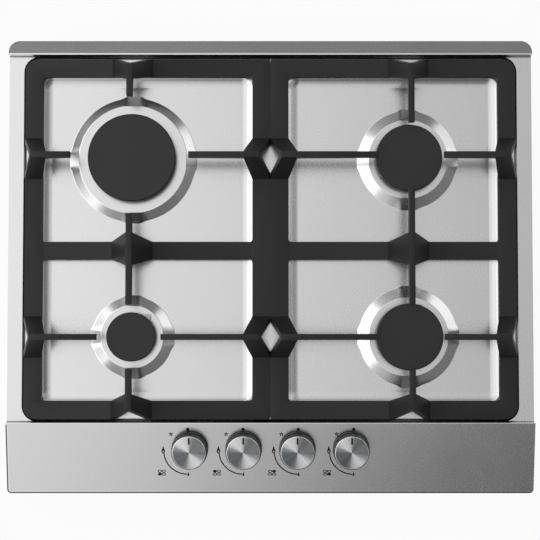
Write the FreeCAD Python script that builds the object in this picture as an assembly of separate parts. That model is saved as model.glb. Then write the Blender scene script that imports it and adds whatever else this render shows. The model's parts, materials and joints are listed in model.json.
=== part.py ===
import FreeCAD, Part
import math
import os
from collections import namedtuple

# Built-in gas cooktop with four burners. Millimetres, +Z up, front towards -Y.
# Origin: centre of the rim in plan, on the plane of the case's underside.

V = FreeCAD.Vector
UP = V(0, 0, 1)

# ---------------------------------------------------------------- hob plate
CASE_DEPTH = 42.0            # case underside to worktop surface
SHEET = 1.0                  # steel of the hob plate
RIM_LENGTH = 590.0
RIM_WIDTH = 510.0
RIM_REAR_CORNER = 12.0
RIM_FRONT_CORNER = 4.5
SEAL_THICKNESS = 1.5
SEAL_WIDTH = 8.0
SEAL_INSET = 1.6             # rim edge to seal
RETURN_FLANGE = 11.0         # inward fold that the seal is stuck to
BORDER_HEIGHT = 10.0         # heights of the plate are above the worktop
FRONT_LIP = 2.5              # height of the front edge
REAR_LIP = 10.0
CREST_HEIGHT = 18.0          # ridge in front of and behind the recess
FRONT_PANEL_RUN = 78.6       # front edge to the ridge's crest
REAR_STRIP_RUN = 15.7        # rear edge to the crest
FRONT_RIDGE = 2.05           # crest to recess
REAR_RIDGE = 2.8
FRONT_CREST_ROUND = 1.5      # bend radii of the long edges
REAR_CREST_ROUND = 1.5
LIP_ROUND = 0.9
RIDGE_RUN = 1.0              # side border's steep rise to the ridges
RIDGE_FOOT_ROUND = 1.2
SIDE_BORDER = 16.7           # side edge to recess
RECESS_CORNER = 17.0
RECESS_HEIGHT = 8.0
RECESS_FOOT_ROUND = 3.0      # bend between the recess's floor and its wall
RECESS_DRAFT = 0.12          # wall run per millimetre of height
WELL_INNER_X = 27.0          # floor of each of the two wells
WELL_SIDE_LEDGE = 27.6       # recess wall to the well's floor
WELL_FRONT_LEDGE = 28.65
WELL_REAR_LEDGE = 30.5
WELL_HEIGHT = 4.75
WELL_SLOPE_RUN = 7.0
WELL_CORNER = 5.5
WELL_BEND = 18.0             # bend between the slope and the well's floor
PLATEAU_HEIGHT = 11.25
RAMP_COUNT = 4               # shallow ramps pressed into each burner plateau's wall
RAMP_PROUD = 1.5             # ramp's foot beyond the wall's
RAMP_INSET = 0.8             # ramp's top inside the wall's
RAMP_HALF_WIDTH = 6.5
RAMP_BLEND = 8.0             # width of the curved flank between ramp and wall
PLATEAU_BEND = 1.4           # radius of the plateau's top edge
PLATEAU_FOOT_BEND = 1.2

# ---------------------------------------------------------------- burners
BURNER_SIDE_OFFSET = 17.0    # outwards from the pan support's middle
BURNER_TO_REAR = 112.5       # pan support's rear edge to the burner's axis
BURNER_TO_FRONT = 91.3
CERAMIC_RADIUS = 3.9
CERAMIC_TOP = 20.5
CERAMIC_BELOW_FLANGE = 14.0
PIN_RADIUS = 0.7
PIN_OFFSET = 1.3             # electrode pin from the ceramic's axis, inwards
PIN_TOP = 21.6
PROBE_RADIUS = 2.0           # thermocouple
PROBE_TOP = 21.6
PROBE_BELOW_FLANGE = 12.0
CAPILLARY_RADIUS = 0.9
CERAMIC_GAP = 0.4            # crown to ceramic
PROBE_GAP = 0.5              # crown to thermocouple
PLATE_HOLE_GAP = 0.3         # electrode, thermocouple and screw holes
COLLAR_GAP = 0.5             # plate hole to burner collar
COLLAR_WALL = 2.8
COLLAR_PROUD = 0.6           # collar top above the plateau
SKIRT_GAP = 0.35
SKIRT_WALL = 2.2
SKIRT_DEPTH = 6.0
CROWN_HEIGHT = 10.95
CROWN_WALL = 4.0
CROWN_LIP = 1.4              # outer wall beside the screw groove
GROOVE_HEIGHT = 2.8
PORT_HEIGHT = 3.1
PORT_WIDTH = 1.7
VENTURI_WALL = 1.6
VENTURI_DEPTH = 9.0
CAP_THICKNESS = 4.7
CAP_BEVEL = 1.0
CAP_SPIGOT = 1.8
SPIGOT_WALL = 2.0
SPIGOT_GAP = 0.4
CUP_FLANGE = 3.0
CUP_WALL = 2.5
CUP_FLOOR = 3.0
CUP_FLANGE_INSET = 2.5       # inside the plateau's top edge
CUP_BOSS_RADIUS = 7.0
CUP_BOSS_LENGTH = 8.0        # gas inlet boss beyond the bowl
CUP_BOSS_MARGIN = 1.2        # cup core above and below the boss
CUP_CORE_RADIUS = 9.0
SCREW_RADIUS = 2.0
SCREW_HEAD_RADIUS = 2.9
SCREW_HEAD_HEIGHT = 2.2
SCREW_TO_CROWN_EDGE = 4.6
SCREW_ANGLES = (150.0, 330.0)
PLATE_HOLE_INSET = 9.5       # crown edge to plate hole
JET_THREAD_RADIUS = 3.0
JET_HEX_RADIUS = 4.4
JET_HEX_HEIGHT = 4.0
JET_NOSE_RADIUS = 2.6
JET_NOSE_HEIGHT = 3.5

PROBE_TURN = 30.0            # thermocouple below the line towards the middle

# ---------------------------------------------------------------- pan supports
SUPPORT_GAP = 0.7            # between the two supports
SUPPORT_SIDE_GAP = 2.65      # recess wall to support
SUPPORT_FRONT_GAP = 3.05
SUPPORT_REAR_GAP = 4.0
BAR_WIDTH = 20.0
BAR_THICKNESS = 7.0
MID_BAR_OFFSET = 3.6         # forwards from the middle between the burners
SUPPORT_CORNER = 13.0
SUPPORT_INNER_CORNER = 1.6        # where the two supports meet
CELL_CORNER = 3.0
FOOT_HEIGHT = 2.0
FOOT_RADIUS = 4.5
FOOT_STEM_RADIUS = 2.0
FOOT_STEM_LENGTH = 3.5
FINGER_HEIGHT = 56.0         # pan level above the worktop
FINGER_WIDTH = 6.6
FINGER_TIP_DEPTH = 9.0
FINGER_ROOT_DEPTH = 13.0
ARCH_HALF_SPAN = 23.0
ARCH_WALL = 6.7              # measured along the bar
ARCH_LEAN_OUTER = 12.0       # outer edge moves in as the arch rises
ARCH_LEAN_INNER = 9.5
MID_ARCH_SPREAD = 8.0

# ---------------------------------------------------------------- controls
KNOB_COUNT = 4
KNOB_PITCH = 60.0
KNOB_TO_EDGE = 50.3
PUSH_TRAVEL = 3.0
KNOB_PANEL_GAP = 0.5         # skirt to panel with the knob pushed in
KNOB_TOP = 17.0
KNOB_SKIRT_RADIUS = 20.4
KNOB_SKIRT_HEIGHT = 1.6
KNOB_CONE_HEIGHT = 1.4
KNURL_RADIUS = 19.9
KNURL_DEPTH = 0.6
KNURL_COUNT = 72
KNOB_FACE_RADIUS = 19.4
KNOB_FACE_THICKNESS = 1.6
KNOB_FACE_BEVEL = 0.5
KNOB_WALL = 2.4
KNOB_BOSS_RADIUS = 5.5
KNOB_TOP_WALL = 2.5
POINTER_WIDTH = 1.2
POINTER_INNER = 9.7
POINTER_OUTER = 16.9
POINTER_DEPTH = 0.4
SPINDLE_RADIUS = 3.0
SPINDLE_INTO_KNOB = 12.0
PANEL_HOLE_RADIUS = 5.0

# Valve depths are along the knob's axis, below the panel's surface.
NECK_START = 9.0
BRACKET_DEPTH = 12.5
BRACKET_SHEET = 1.5
CHAMBER_START = 15.6
COLLAR_START = 16.2
COLLAR_THICKNESS = 1.8
PLUG_START = 24.0
PLUG_END = 36.0
BODY_END = 37.5
MAGNET_END = 45.5
NECK_RADIUS = 8.0
NECK_BORE_RADIUS = 3.25
CHAMBER_RADIUS = 7.6
VALVE_RADIUS = 11.0
PLUG_TOP_RADIUS = 7.0
PLUG_BOTTOM_RADIUS = 5.5
PLUG_GAP = 0.05              # running fit of the gas plug
PLUG_END_GAP = 0.1
PLUG_SLOT_WIDTH = 2.4
PLUG_SLOT_DEPTH = 4.6
TONGUE_WIDTH = 2.0
TONGUE_INTO_SLOT = 1.3
TONGUE_HALF_SPAN = 4.0
SPINDLE_COLLAR_RADIUS = 6.8
SPRING_INNER_RADIUS = 4.6
SPRING_OUTER_RADIUS = 6.4
MAGNET_RADIUS = 7.5
PORT_DEPTH = 30.0            # gas ways through the valve
PORT_RADIUS = 1.8
MAGNET_PORT_DEPTH = 42.0
NIPPLE_RADIUS = 5.0
NIPPLE_LENGTH = 9.0          # beyond the valve body
BRACKET_FRONT = 14.0
BRACKET_REAR = 17.0
BRACKET_OVERHANG = 28.0      # beyond the outer valves
BRACKET_FOOT = 12.0
BRACKET_LEG_FRONT = 7.0      # legs stop short of the gas rail
SWITCH_LENGTH = 19.0
SWITCH_WIDTH = 9.0
SWITCH_HEIGHT = 5.5
SWITCH_OFFSET = 9.5          # valve axis to the switch
SWITCH_PLUNGER = 1.2

# ---------------------------------------------------------------- gas and wires
RAIL_RADIUS = 8.0
RAIL_BORE = 6.6
RAIL_STANDOFF = 4.0          # valve body to rail
RAIL_END_MARGIN = 22.0       # beyond the leftmost valve
RAIL_TO_WALL = 43.0          # axis of the rail's side run to the case wall
RAIL_BEND = 28.0
TUBE_RADIUS = 4.0
TUBE_BORE = 3.0
TUBE_BEND = 16.0
NUT_FLATS = 13.0
NUT_LENGTH = 10.0
NUT_OVER_NIPPLE = 5.0
INLET_THREAD_RADIUS = 10.45
INLET_BOTTOM = 2.0
INLET_SHOULDER = 1.0         # thread's end to the elbow's socket
INLET_BORE = 6.0
RAIL_SOCKET_BORE = 5.6
RAIL_SOCKET_DEPTH = 6.0
INLET_TO_WALL = 23.0
ELBOW_RADIUS = 13.0
ELBOW_HEAD = 12.5            # above the rail's axis
ELBOW_SOCKET_RADIUS = 11.0
ELBOW_SOCKET_LENGTH = 16.0
LEAD_RADIUS = 1.5
LEAD_LIFT = 0.3
LEAD_BEND = 11.0
CAPILLARY_BEND = 14.0
IGNITER_TO_WALL = 13.0
IGNITER_TO_BURNER = 58.0     # behind the front burners' axes
IGNITER_WIDTH = 40.0
IGNITER_LENGTH = 74.0
IGNITER_HEIGHT = 24.0
IGNITER_LUG = 10.0
IGNITER_LUG_THICKNESS = 3.0
IGNITER_LUG_INSET = 8.0
LEAD_STARTS = (66.0, 8.0, 46.0, 28.0)    # along the generator, in the burners' order
TERMINAL_TO_WALL = 19.0
TERMINAL_TO_REAR = 37.0
TERMINAL_LENGTH = 34.0
TERMINAL_WIDTH = 22.0
TERMINAL_HEIGHT = 16.0
TERMINAL_SCREW_RADIUS = 2.2
TERMINAL_SCREW_DEPTH = 3.0
TERMINAL_SCREW_INSET = 6.0
GLAND_TO_WALL = 36.0
GLAND_Z = 14.0
GLAND_RADIUS = 7.0
GLAND_FLANGE_RADIUS = 10.0
GLAND_FLANGE = 2.5
GLAND_BORE = 4.0
GLAND_LENGTH = 15.0
GLAND_OUTSIDE = 6.0
WIRE_RADIUS = 1.2
WIRE_BEND = 8.0
MAINS_WIRES = (14.0, 26.0)   # across the generator

# ---------------------------------------------------------------- bottom case
RIM_OVERHANG = 20.0          # rim beyond the case, over the worktop
CASE_SHEET = 1.0
CASE_CORNER = 6.0
CASE_FLANGE = 12.0
FLANGE_START = 11.2          # recess front to the side flanges
NOTCH_LENGTH = 62.0          # corner left open for the gas inlet
NOTCH_WIDTH = 46.0
RAIL_HOLE_GAP = 0.4
VENT_LENGTH = 44.0
VENT_WIDTH = 5.0
VENT_PITCH = 14.0
VENT_COUNT = 7
VENT_X = 70.0
VENT_Y = 12.0
CLAMP_HOLE_RADIUS = 2.1
CLAMP_INSET_X = 25.0
CLAMP_INSET_Y = 55.0
STUD_RADIUS = 2.0
STUD_LENGTH = 11.0
STUD_HOLE_GAP = 0.3
STUD_TO_FLANGE_END = 40.0
STUD_TO_NOTCH = 29.0
STUD_REAR_SPACING = 220.0
STUD_INSET = 6.5             # case wall to stud
FIXING_NUT_FLATS = 7.0
FIXING_NUT_HEIGHT = 3.2

# ---------------------------------------------------------------- derived places
WORKTOP = CASE_DEPTH
RIM_X = RIM_LENGTH / 2
RIM_Y = RIM_WIDTH / 2
FRONT_CREST_Y = FRONT_PANEL_RUN - RIM_Y
REAR_CREST_Y = RIM_Y - REAR_STRIP_RUN
RECESS_X = RIM_X - SIDE_BORDER
RECESS_FRONT_Y = FRONT_CREST_Y + FRONT_RIDGE
RECESS_REAR_Y = REAR_CREST_Y - REAR_RIDGE
WELL_OUTER_X = RECESS_X - WELL_SIDE_LEDGE
WELL_FRONT_Y = RECESS_FRONT_Y + WELL_FRONT_LEDGE
WELL_REAR_Y = RECESS_REAR_Y - WELL_REAR_LEDGE
PLATE_BOTTOM = WORKTOP + SEAL_THICKNESS
LEDGE_Z = WORKTOP + RECESS_HEIGHT
PLATEAU_Z = WORKTOP + PLATEAU_HEIGHT

SUPPORT_INNER_X = SUPPORT_GAP / 2
SUPPORT_OUTER_X = RECESS_X - SUPPORT_SIDE_GAP
SUPPORT_FRONT_Y = RECESS_FRONT_Y + SUPPORT_FRONT_GAP
SUPPORT_REAR_Y = RECESS_REAR_Y - SUPPORT_REAR_GAP
BURNER_X = (SUPPORT_INNER_X + SUPPORT_OUTER_X) / 2 + BURNER_SIDE_OFFSET
BURNER_REAR_Y = SUPPORT_REAR_Y - BURNER_TO_REAR
BURNER_FRONT_Y = SUPPORT_FRONT_Y + BURNER_TO_FRONT
MID_BAR_FRONT_Y = (BURNER_FRONT_Y + BURNER_REAR_Y) / 2 - MID_BAR_OFFSET - BAR_WIDTH / 2
MID_BAR_REAR_Y = MID_BAR_FRONT_Y + BAR_WIDTH
FRAME_Z = LEDGE_Z + FOOT_HEIGHT
FRAME_TOP = FRAME_Z + BAR_THICKNESS
FINGER_Z = WORKTOP + FINGER_HEIGHT
CUP_TOP = PLATEAU_Z - SHEET
CROWN_Z = PLATEAU_Z + COLLAR_PROUD
CAP_Z = CROWN_Z + CROWN_HEIGHT

KNOB_Y = KNOB_TO_EDGE - RIM_Y
KNOB_LIFT = PUSH_TRAVEL + KNOB_PANEL_GAP
PANEL_SLOPE = math.atan2(CREST_HEIGHT - FRONT_LIP, FRONT_PANEL_RUN)
PANEL_Z = WORKTOP + FRONT_LIP + KNOB_TO_EDGE * math.tan(PANEL_SLOPE)
KNOB_XS = tuple((i - (KNOB_COUNT - 1) / 2) * KNOB_PITCH for i in range(KNOB_COUNT))
PORT_Y = KNOB_Y + PORT_DEPTH * math.sin(PANEL_SLOPE)
PORT_Z = PANEL_Z - PORT_DEPTH * math.cos(PANEL_SLOPE)
MAGNET_Y = KNOB_Y + MAGNET_PORT_DEPTH * math.sin(PANEL_SLOPE)
MAGNET_Z = PANEL_Z - MAGNET_PORT_DEPTH * math.cos(PANEL_SLOPE)
TUBE_START_Y = PORT_Y + VALVE_RADIUS + NIPPLE_LENGTH
CUP_BOTTOM = PORT_Z - CUP_BOSS_RADIUS - CUP_BOSS_MARGIN
CUP_CORE_TOP = PORT_Z + CUP_BOSS_RADIUS + CUP_BOSS_MARGIN

CASE_X = RIM_X - RIM_OVERHANG
CASE_Y = RIM_Y - RIM_OVERHANG
CASE_TOP = LEDGE_Z - SHEET
NOTCH_X = CASE_X - NOTCH_LENGTH
NOTCH_Y = CASE_Y - NOTCH_WIDTH
FLANGE_FRONT_Y = RECESS_FRONT_Y + FLANGE_START
STUD_FRONT_Y = FLANGE_FRONT_Y + STUD_TO_FLANGE_END
STUD_REAR_Y = NOTCH_Y - STUD_TO_NOTCH
RAIL_Y = PORT_Y - VALVE_RADIUS - RAIL_STANDOFF - RAIL_RADIUS
RAIL_SIDE_X = CASE_X - RAIL_TO_WALL
INLET_Y = CASE_Y - INLET_TO_WALL
INLET_THREAD_TOP = PORT_Z - ELBOW_SOCKET_RADIUS - INLET_SHOULDER
ELBOW_SOCKET_END = INLET_Y - ELBOW_SOCKET_LENGTH
LEAD_Z = CASE_SHEET + LEAD_RADIUS + LEAD_LIFT
IGNITER_X = (IGNITER_TO_WALL - CASE_X, IGNITER_TO_WALL + IGNITER_WIDTH - CASE_X)
IGNITER_Y = (BURNER_FRONT_Y + IGNITER_TO_BURNER, BURNER_FRONT_Y + IGNITER_TO_BURNER + IGNITER_LENGTH)
TERMINAL_X = (TERMINAL_TO_WALL - CASE_X, TERMINAL_TO_WALL + TERMINAL_LENGTH - CASE_X)
TERMINAL_Y = (CASE_Y - TERMINAL_TO_REAR - TERMINAL_WIDTH, CASE_Y - TERMINAL_TO_REAR)
GLAND_X = GLAND_TO_WALL - CASE_X
FAR = 1000.0

Burner = namedtuple("Burner", "name side y cap_r plateau_top_r plateau_base_r"
                              " electrode_r electrode_angle finger_r venturi_r ports jet_r")
BURNERS = (
    Burner("rear_left", -1, BURNER_REAR_Y, 49.0, 61.0, 70.5, 46.3, 70.0, 65.0, 11.5, 48, 0.60),
    Burner("front_left", -1, BURNER_FRONT_Y, 27.3, 35.3, 45.5, 27.6, 52.0, 35.2, 5.0, 24, 0.25),
    Burner("rear_right", 1, BURNER_REAR_Y, 37.0, 44.5, 55.8, 34.9, 70.0, 36.0, 8.0, 36, 0.40),
    Burner("front_right", 1, BURNER_FRONT_Y, 37.0, 44.5, 55.8, 34.9, 70.0, 36.0, 8.0, 36, 0.40),
)


# ================================================================ helpers
def box(x0, x1, y0, y1, z0, z1):
    return Part.makeBox(x1 - x0, y1 - y0, z1 - z0, V(x0, y0, z0))


def rod(x, y, z0, z1, radius):
    return Part.makeCylinder(radius, z1 - z0, V(x, y, z0), UP)


def rod_between(start, end, radius):
    return Part.makeCylinder(radius, (end - start).Length, start, end - start)


def hexagon(centre, axis, flats, length):
    """Hexagonal prism whose base is centred on a point."""
    radius = flats / math.sqrt(3)
    points = [V(radius * math.cos(math.radians(60 * i)), radius * math.sin(math.radians(60 * i)), 0)
              for i in range(7)]
    prism = Part.Face(Part.makePolygon(points)).extrude(V(0, 0, length))
    prism.Placement = FreeCAD.Placement(centre, FreeCAD.Rotation(UP, axis))
    return prism


def lathe(points):
    """Solid of revolution about Z from (radius, z) points."""
    corners = [V(r, 0, z) for r, z in points]
    face = Part.Face(Part.makePolygon(corners + corners[:1]))
    return face.revolve(V(0, 0, 0), UP, 360)


def polar(radius, angle):
    return radius * math.cos(math.radians(angle)), radius * math.sin(math.radians(angle))


def rounded_wire(x0, x1, y0, y1, z, front_radius, rear_radius):
    """Rectangle with round corners, one radius in front and one behind."""
    corners = ((x1, y0, front_radius, -90), (x1, y1, rear_radius, 0),
               (x0, y1, rear_radius, 90), (x0, y0, front_radius, 180))
    edges = []
    ends = []
    for x, y, radius, angle in corners:
        cx = x - radius if x == x1 else x + radius
        cy = y - radius if y == y1 else y + radius
        arc_points = [V(cx + polar(radius, a)[0], cy + polar(radius, a)[1], z)
                      for a in (angle, angle + 45, angle + 90)]
        ends.append(arc_points)
    for i, (start, middle, end) in enumerate(ends):
        edges.append(Part.Arc(start, middle, end).toShape())
        edges.append(Part.LineSegment(end, ends[(i + 1) % 4][0]).toShape())
    return Part.Wire(edges)


def rounded_block(x0, x1, y0, y1, z0, z1, front_radius, rear_radius):
    wire = rounded_wire(x0, x1, y0, y1, z0, front_radius, rear_radius)
    return Part.Face(wire).extrude(V(0, 0, z1 - z0))


def pressed_pocket(x0, x1, y0, y1, floor, top, radius, run):
    """Rounded pocket whose walls spread by run from its floor to its top."""
    low = rounded_wire(x0, x1, y0, y1, floor, radius, radius)
    high = rounded_wire(x0 - run, x1 + run, y0 - run, y1 + run, top, radius + run, radius + run)
    return Part.makeLoft([low, high], True, True)


def prism_between(front, back):
    """Solid between two outlines of matching corners, with flat sides."""
    faces = [Part.Face(Part.makePolygon(front + front[:1])), Part.Face(Part.makePolygon(back + back[:1]))]
    for i in range(len(front)):
        j = (i + 1) % len(front)
        faces.append(Part.Face(Part.makePolygon([front[i], front[j], back[j], back[i], front[i]])))
    solid = Part.Solid(Part.Shell(faces))
    solid.fixTolerance(1e-7)
    return solid if solid.Volume > 0 else solid.reversed()


def fuse(shapes):
    return shapes[0].multiFuse(list(shapes[1:])).removeSplitter() if len(shapes) > 1 else shapes[0]


def rounded_run(points, radii):
    """Edges along straight runs, with an arc at each corner whose radius isn't zero."""
    edges = []
    start = points[0]
    for before, corner, after, radius in zip(points, points[1:], points[2:], radii):
        first = last = corner
        if radius > 0:
            inward = (before - corner).normalize()
            outward = (after - corner).normalize()
            turn = math.pi - inward.getAngle(outward)
            setback = radius * math.tan(turn / 2)
            first = corner + inward * setback
            last = corner + outward * setback
            centre = corner + (inward + outward).normalize() * (radius / math.cos(turn / 2))
            middle = centre + (corner - centre).normalize() * radius
        edges.append(Part.LineSegment(start, first).toShape())
        if radius > 0:
            edges.append(Part.Arc(first, middle, last).toShape())
        start = last
    edges.append(Part.LineSegment(start, points[-1]).toShape())
    return edges


def pipe(points, radius, bend):
    """Round bar along straight runs joined by tangent arcs."""
    path = Part.Wire(rounded_run(points, [bend] * (len(points) - 2)))
    circle = Part.Wire(Part.Circle(points[0], points[1] - points[0], radius).toShape())
    bar = path.makePipeShell([circle], True, False)
    expected = math.pi * radius ** 2 * path.Length
    print("pipe radius %.1f length %.1f volume ratio %.4f" % (radius, path.Length, bar.Volume / expected))
    return bar


def at_knob(shape, x):
    """Move a shape from the knob's own axes, with its panel point at the origin, to its place."""
    moved = shape.copy()
    turn = FreeCAD.Rotation(V(1, 0, 0), math.degrees(PANEL_SLOPE))
    moved.Placement = FreeCAD.Placement(V(x, KNOB_Y, PANEL_Z), turn)
    return moved


# ================================================================ burner places
def burner_x(burner):
    return burner.side * BURNER_X


def crown_radius(burner):
    return burner.electrode_r - CERAMIC_RADIUS - CERAMIC_GAP


def plate_hole_radius(burner):
    return crown_radius(burner) - PLATE_HOLE_INSET


def collar_radius(burner):
    return plate_hole_radius(burner) - COLLAR_GAP


def bowl_radius(burner):
    return plate_hole_radius(burner) + CUP_WALL - COLLAR_GAP


def boss_end(burner):
    """Where the supply tube meets the burner cup, measured from the burner's axis."""
    return bowl_radius(burner) + CUP_BOSS_LENGTH


def electrode_place(burner):
    dx, dy = polar(burner.electrode_r, burner.electrode_angle)
    return burner_x(burner) + dx, burner.y + dy


def pin_place(burner):
    dx, dy = polar(burner.electrode_r - PIN_OFFSET, burner.electrode_angle)
    return burner_x(burner) + dx, burner.y + dy


def probe_place(burner):
    radius = crown_radius(burner) + PROBE_GAP + PROBE_RADIUS
    angle = -PROBE_TURN if burner.side < 0 else 180 + PROBE_TURN
    dx, dy = polar(radius, angle)
    return burner_x(burner) + dx, burner.y + dy


def screw_places(burner):
    radius = crown_radius(burner) - SCREW_TO_CROWN_EDGE
    for angle in SCREW_ANGLES:
        dx, dy = polar(radius, angle)
        yield burner_x(burner) + dx, burner.y + dy


def valve_of(burner):
    """Knobs from left to right serve front left, rear left, rear right and front right."""
    order = ("front_left", "rear_left", "rear_right", "front_right")
    return KNOB_XS[order.index(burner.name)]


# ================================================================ hob plate
def plate_block(skin, bottom):
    """Everything under the plate's top surface (skin 0) or under its lower surface (skin SHEET)."""
    drop = WORKTOP - skin
    rise = CREST_HEIGHT - BORDER_HEIGHT
    border = drop + BORDER_HEIGHT
    crest = drop + CREST_HEIGHT
    front_ridge = RECESS_FRONT_Y - RECESS_DRAFT * (CREST_HEIGHT - RECESS_HEIGHT) - skin / 2
    rear_ridge = RECESS_REAR_Y + RECESS_DRAFT * (CREST_HEIGHT - RECESS_HEIGHT) + skin / 2
    lip_round = max(LIP_ROUND - skin, 0)
    foot_round = RIDGE_FOOT_ROUND + skin
    corners = ((0, border, None), (front_ridge + RIDGE_RUN, border, foot_round), (front_ridge, crest, 0),
               (FRONT_CREST_Y, crest, FRONT_CREST_ROUND - skin), (-RIM_Y, drop + FRONT_LIP, lip_round),
               (-RIM_Y, bottom, 0), (RIM_Y, bottom, 0), (RIM_Y, drop + REAR_LIP, lip_round),
               (REAR_CREST_Y, crest, REAR_CREST_ROUND - skin), (rear_ridge, crest, 0),
               (rear_ridge - RIDGE_RUN, border, foot_round), (0, border, None))
    outline = [V(0, y, z) for y, z, _ in corners]
    section = Part.Wire(rounded_run(outline, [radius for _, _, radius in corners[1:-1]]))
    block = Part.Face(section).extrude(V(RIM_LENGTH, 0, 0))
    block.translate(V(-RIM_X, 0, 0))
    rim = rounded_block(skin - RIM_X, RIM_X - skin, skin - RIM_Y, RIM_Y - skin, bottom - 1, crest + 1,
                        RIM_FRONT_CORNER - skin, RIM_REAR_CORNER - skin)
    block = block.common(rim)

    pocket_top = CREST_HEIGHT + 2
    recess = pressed_pocket(-RECESS_X - skin, RECESS_X + skin, RECESS_FRONT_Y - skin, RECESS_REAR_Y + skin,
                            drop + RECESS_HEIGHT, drop + pocket_top, RECESS_CORNER + skin,
                            RECESS_DRAFT * (pocket_top - RECESS_HEIGHT))
    floor_edges = [e for e in recess.Edges if e.BoundBox.ZMax < drop + RECESS_HEIGHT + 0.01]
    block = block.cut(recess.makeFillet(RECESS_FOOT_ROUND + skin, floor_edges))
    for side in (-1, 1):
        xs = sorted((side * WELL_INNER_X, side * WELL_OUTER_X))
        well = pressed_pocket(xs[0], xs[1], WELL_FRONT_Y, WELL_REAR_Y, drop + WELL_HEIGHT,
                              drop + RECESS_HEIGHT, WELL_CORNER, WELL_SLOPE_RUN)
        floor_edges = [e for e in well.Edges if e.BoundBox.ZMax < drop + WELL_HEIGHT + 0.01]
        block = block.cut(well.makeFillet(WELL_BEND + skin, floor_edges))
    raised = fuse([block] + [plateau(burner, drop, skin) for burner in BURNERS])
    feet = [e for burner in BURNERS for e in raised.Edges if at_foot(e, burner, drop + WELL_HEIGHT)]
    return raised.makeFillet(PLATEAU_FOOT_BEND + skin, feet)


def at_foot(edge, burner, z):
    """True for an edge where a burner's plateau meets the floor of its well."""
    place = V(burner_x(burner), burner.y, z)
    reach = max((p - place).Length for p in edge.discretize(3))
    box = edge.BoundBox
    return abs(box.ZMin - z) < 0.01 and abs(box.ZMax - z) < 0.01 and reach < burner.plateau_base_r + 4


def plateau_outline(radius, proud, turn_end, z):
    """Circle with a straight ramp front on each finger's line, joined to it by curved flanks."""
    edges = []
    start = V(radius * math.cos(turn_end), radius * math.sin(turn_end), z)
    tangent = V(-math.sin(turn_end), math.cos(turn_end), 0)
    front = V(radius + proud, RAMP_HALF_WIDTH, z)
    reach = (start - front).Length / 3
    flank = Part.BezierCurve()
    flank.setPoles([front, front + V(0, reach, 0), start - tangent * reach, start])
    mirrored = Part.BezierCurve()
    mirrored.setPoles([V(p.x, -p.y, p.z) for p in reversed(flank.getPoles())])
    middle = math.pi / RAMP_COUNT
    end = V(radius * math.cos(2 * middle - turn_end), radius * math.sin(2 * middle - turn_end), z)
    through = V(radius * math.cos(middle), radius * math.sin(middle), z)
    quarter = [mirrored.toShape(), Part.makeLine(V(front.x, -front.y, z), front), flank.toShape(),
               Part.Arc(start, through, end).toShape()]
    for i in range(RAMP_COUNT):
        for edge in quarter:
            turned = edge.copy()
            turned.rotate(V(0, 0, 0), UP, 360 / RAMP_COUNT * i)
            edges.append(turned)
    return Part.Wire(edges)


def plateau(burner, drop, skin):
    """Raised cone with a shallow ramp in its wall under each of the pan support's four fingers."""
    top_r = burner.plateau_top_r - skin / 2
    fall = PLATEAU_HEIGHT - WELL_HEIGHT
    low = WELL_HEIGHT - 2
    slope = (burner.plateau_base_r - burner.plateau_top_r) / fall
    spread = (RAMP_PROUD + RAMP_INSET) / fall
    depth = PLATEAU_HEIGHT - low
    middle_r = (burner.plateau_base_r + burner.plateau_top_r) / 2
    turn_end = math.asin((RAMP_HALF_WIDTH + RAMP_BLEND) / middle_r)
    outlines = [plateau_outline(top_r + slope * depth, spread * depth - RAMP_INSET, turn_end, low),
                plateau_outline(top_r, -RAMP_INSET, turn_end, PLATEAU_HEIGHT)]
    raised = Part.makeLoft(outlines, True, True)
    top_edges = [e for e in raised.Edges if e.BoundBox.ZMin > PLATEAU_HEIGHT - 0.01]
    raised = raised.makeFillet(PLATEAU_BEND - skin, top_edges)
    raised.translate(V(burner_x(burner), burner.y, drop))
    return raised


def panel_hole(x, radius):
    return at_knob(Part.makeCylinder(radius, 12, V(0, 0, -6)), x)


def stud_places():
    for y in (STUD_FRONT_Y, (STUD_FRONT_Y + STUD_REAR_Y) / 2, STUD_REAR_Y):
        yield STUD_INSET - CASE_X, y
        yield CASE_X - STUD_INSET, y
    yield -STUD_REAR_SPACING / 2, CASE_Y - STUD_INSET
    yield STUD_REAR_SPACING / 2, CASE_Y - STUD_INSET


def top_plate(space):
    skin = plate_block(0, PLATE_BOTTOM).cut(space)
    ring = rounded_block(-RIM_X, RIM_X, -RIM_Y, RIM_Y, PLATE_BOTTOM, PLATE_BOTTOM + SHEET,
                         RIM_FRONT_CORNER, RIM_REAR_CORNER)
    inset = RETURN_FLANGE
    ring = ring.cut(box(inset - RIM_X, RIM_X - inset, inset - RIM_Y, RIM_Y - inset, 0, FAR))
    plate = fuse([skin, ring])
    holes = [panel_hole(x, PANEL_HOLE_RADIUS) for x in KNOB_XS]
    for burner in BURNERS:
        low = WORKTOP
        high = PLATEAU_Z + 1
        holes.append(rod(burner_x(burner), burner.y, low, high, plate_hole_radius(burner)))
        x, y = electrode_place(burner)
        holes.append(rod(x, y, low, high, CERAMIC_RADIUS + PLATE_HOLE_GAP))
        x, y = probe_place(burner)
        holes.append(rod(x, y, low, high, PROBE_RADIUS + PLATE_HOLE_GAP))
        for x, y in screw_places(burner):
            holes.append(rod(x, y, low, high, SCREW_RADIUS + PLATE_HOLE_GAP))
    return plate.cut(Part.Compound(holes))


def rim_seal():
    outer = SEAL_INSET
    inner = SEAL_INSET + SEAL_WIDTH
    strip = rounded_block(outer - RIM_X, RIM_X - outer, outer - RIM_Y, RIM_Y - outer, WORKTOP,
                          PLATE_BOTTOM, RIM_FRONT_CORNER - outer, RIM_REAR_CORNER - outer)
    return strip.cut(box(inner - RIM_X, RIM_X - inner, inner - RIM_Y, RIM_Y - inner, 0, FAR))


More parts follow.
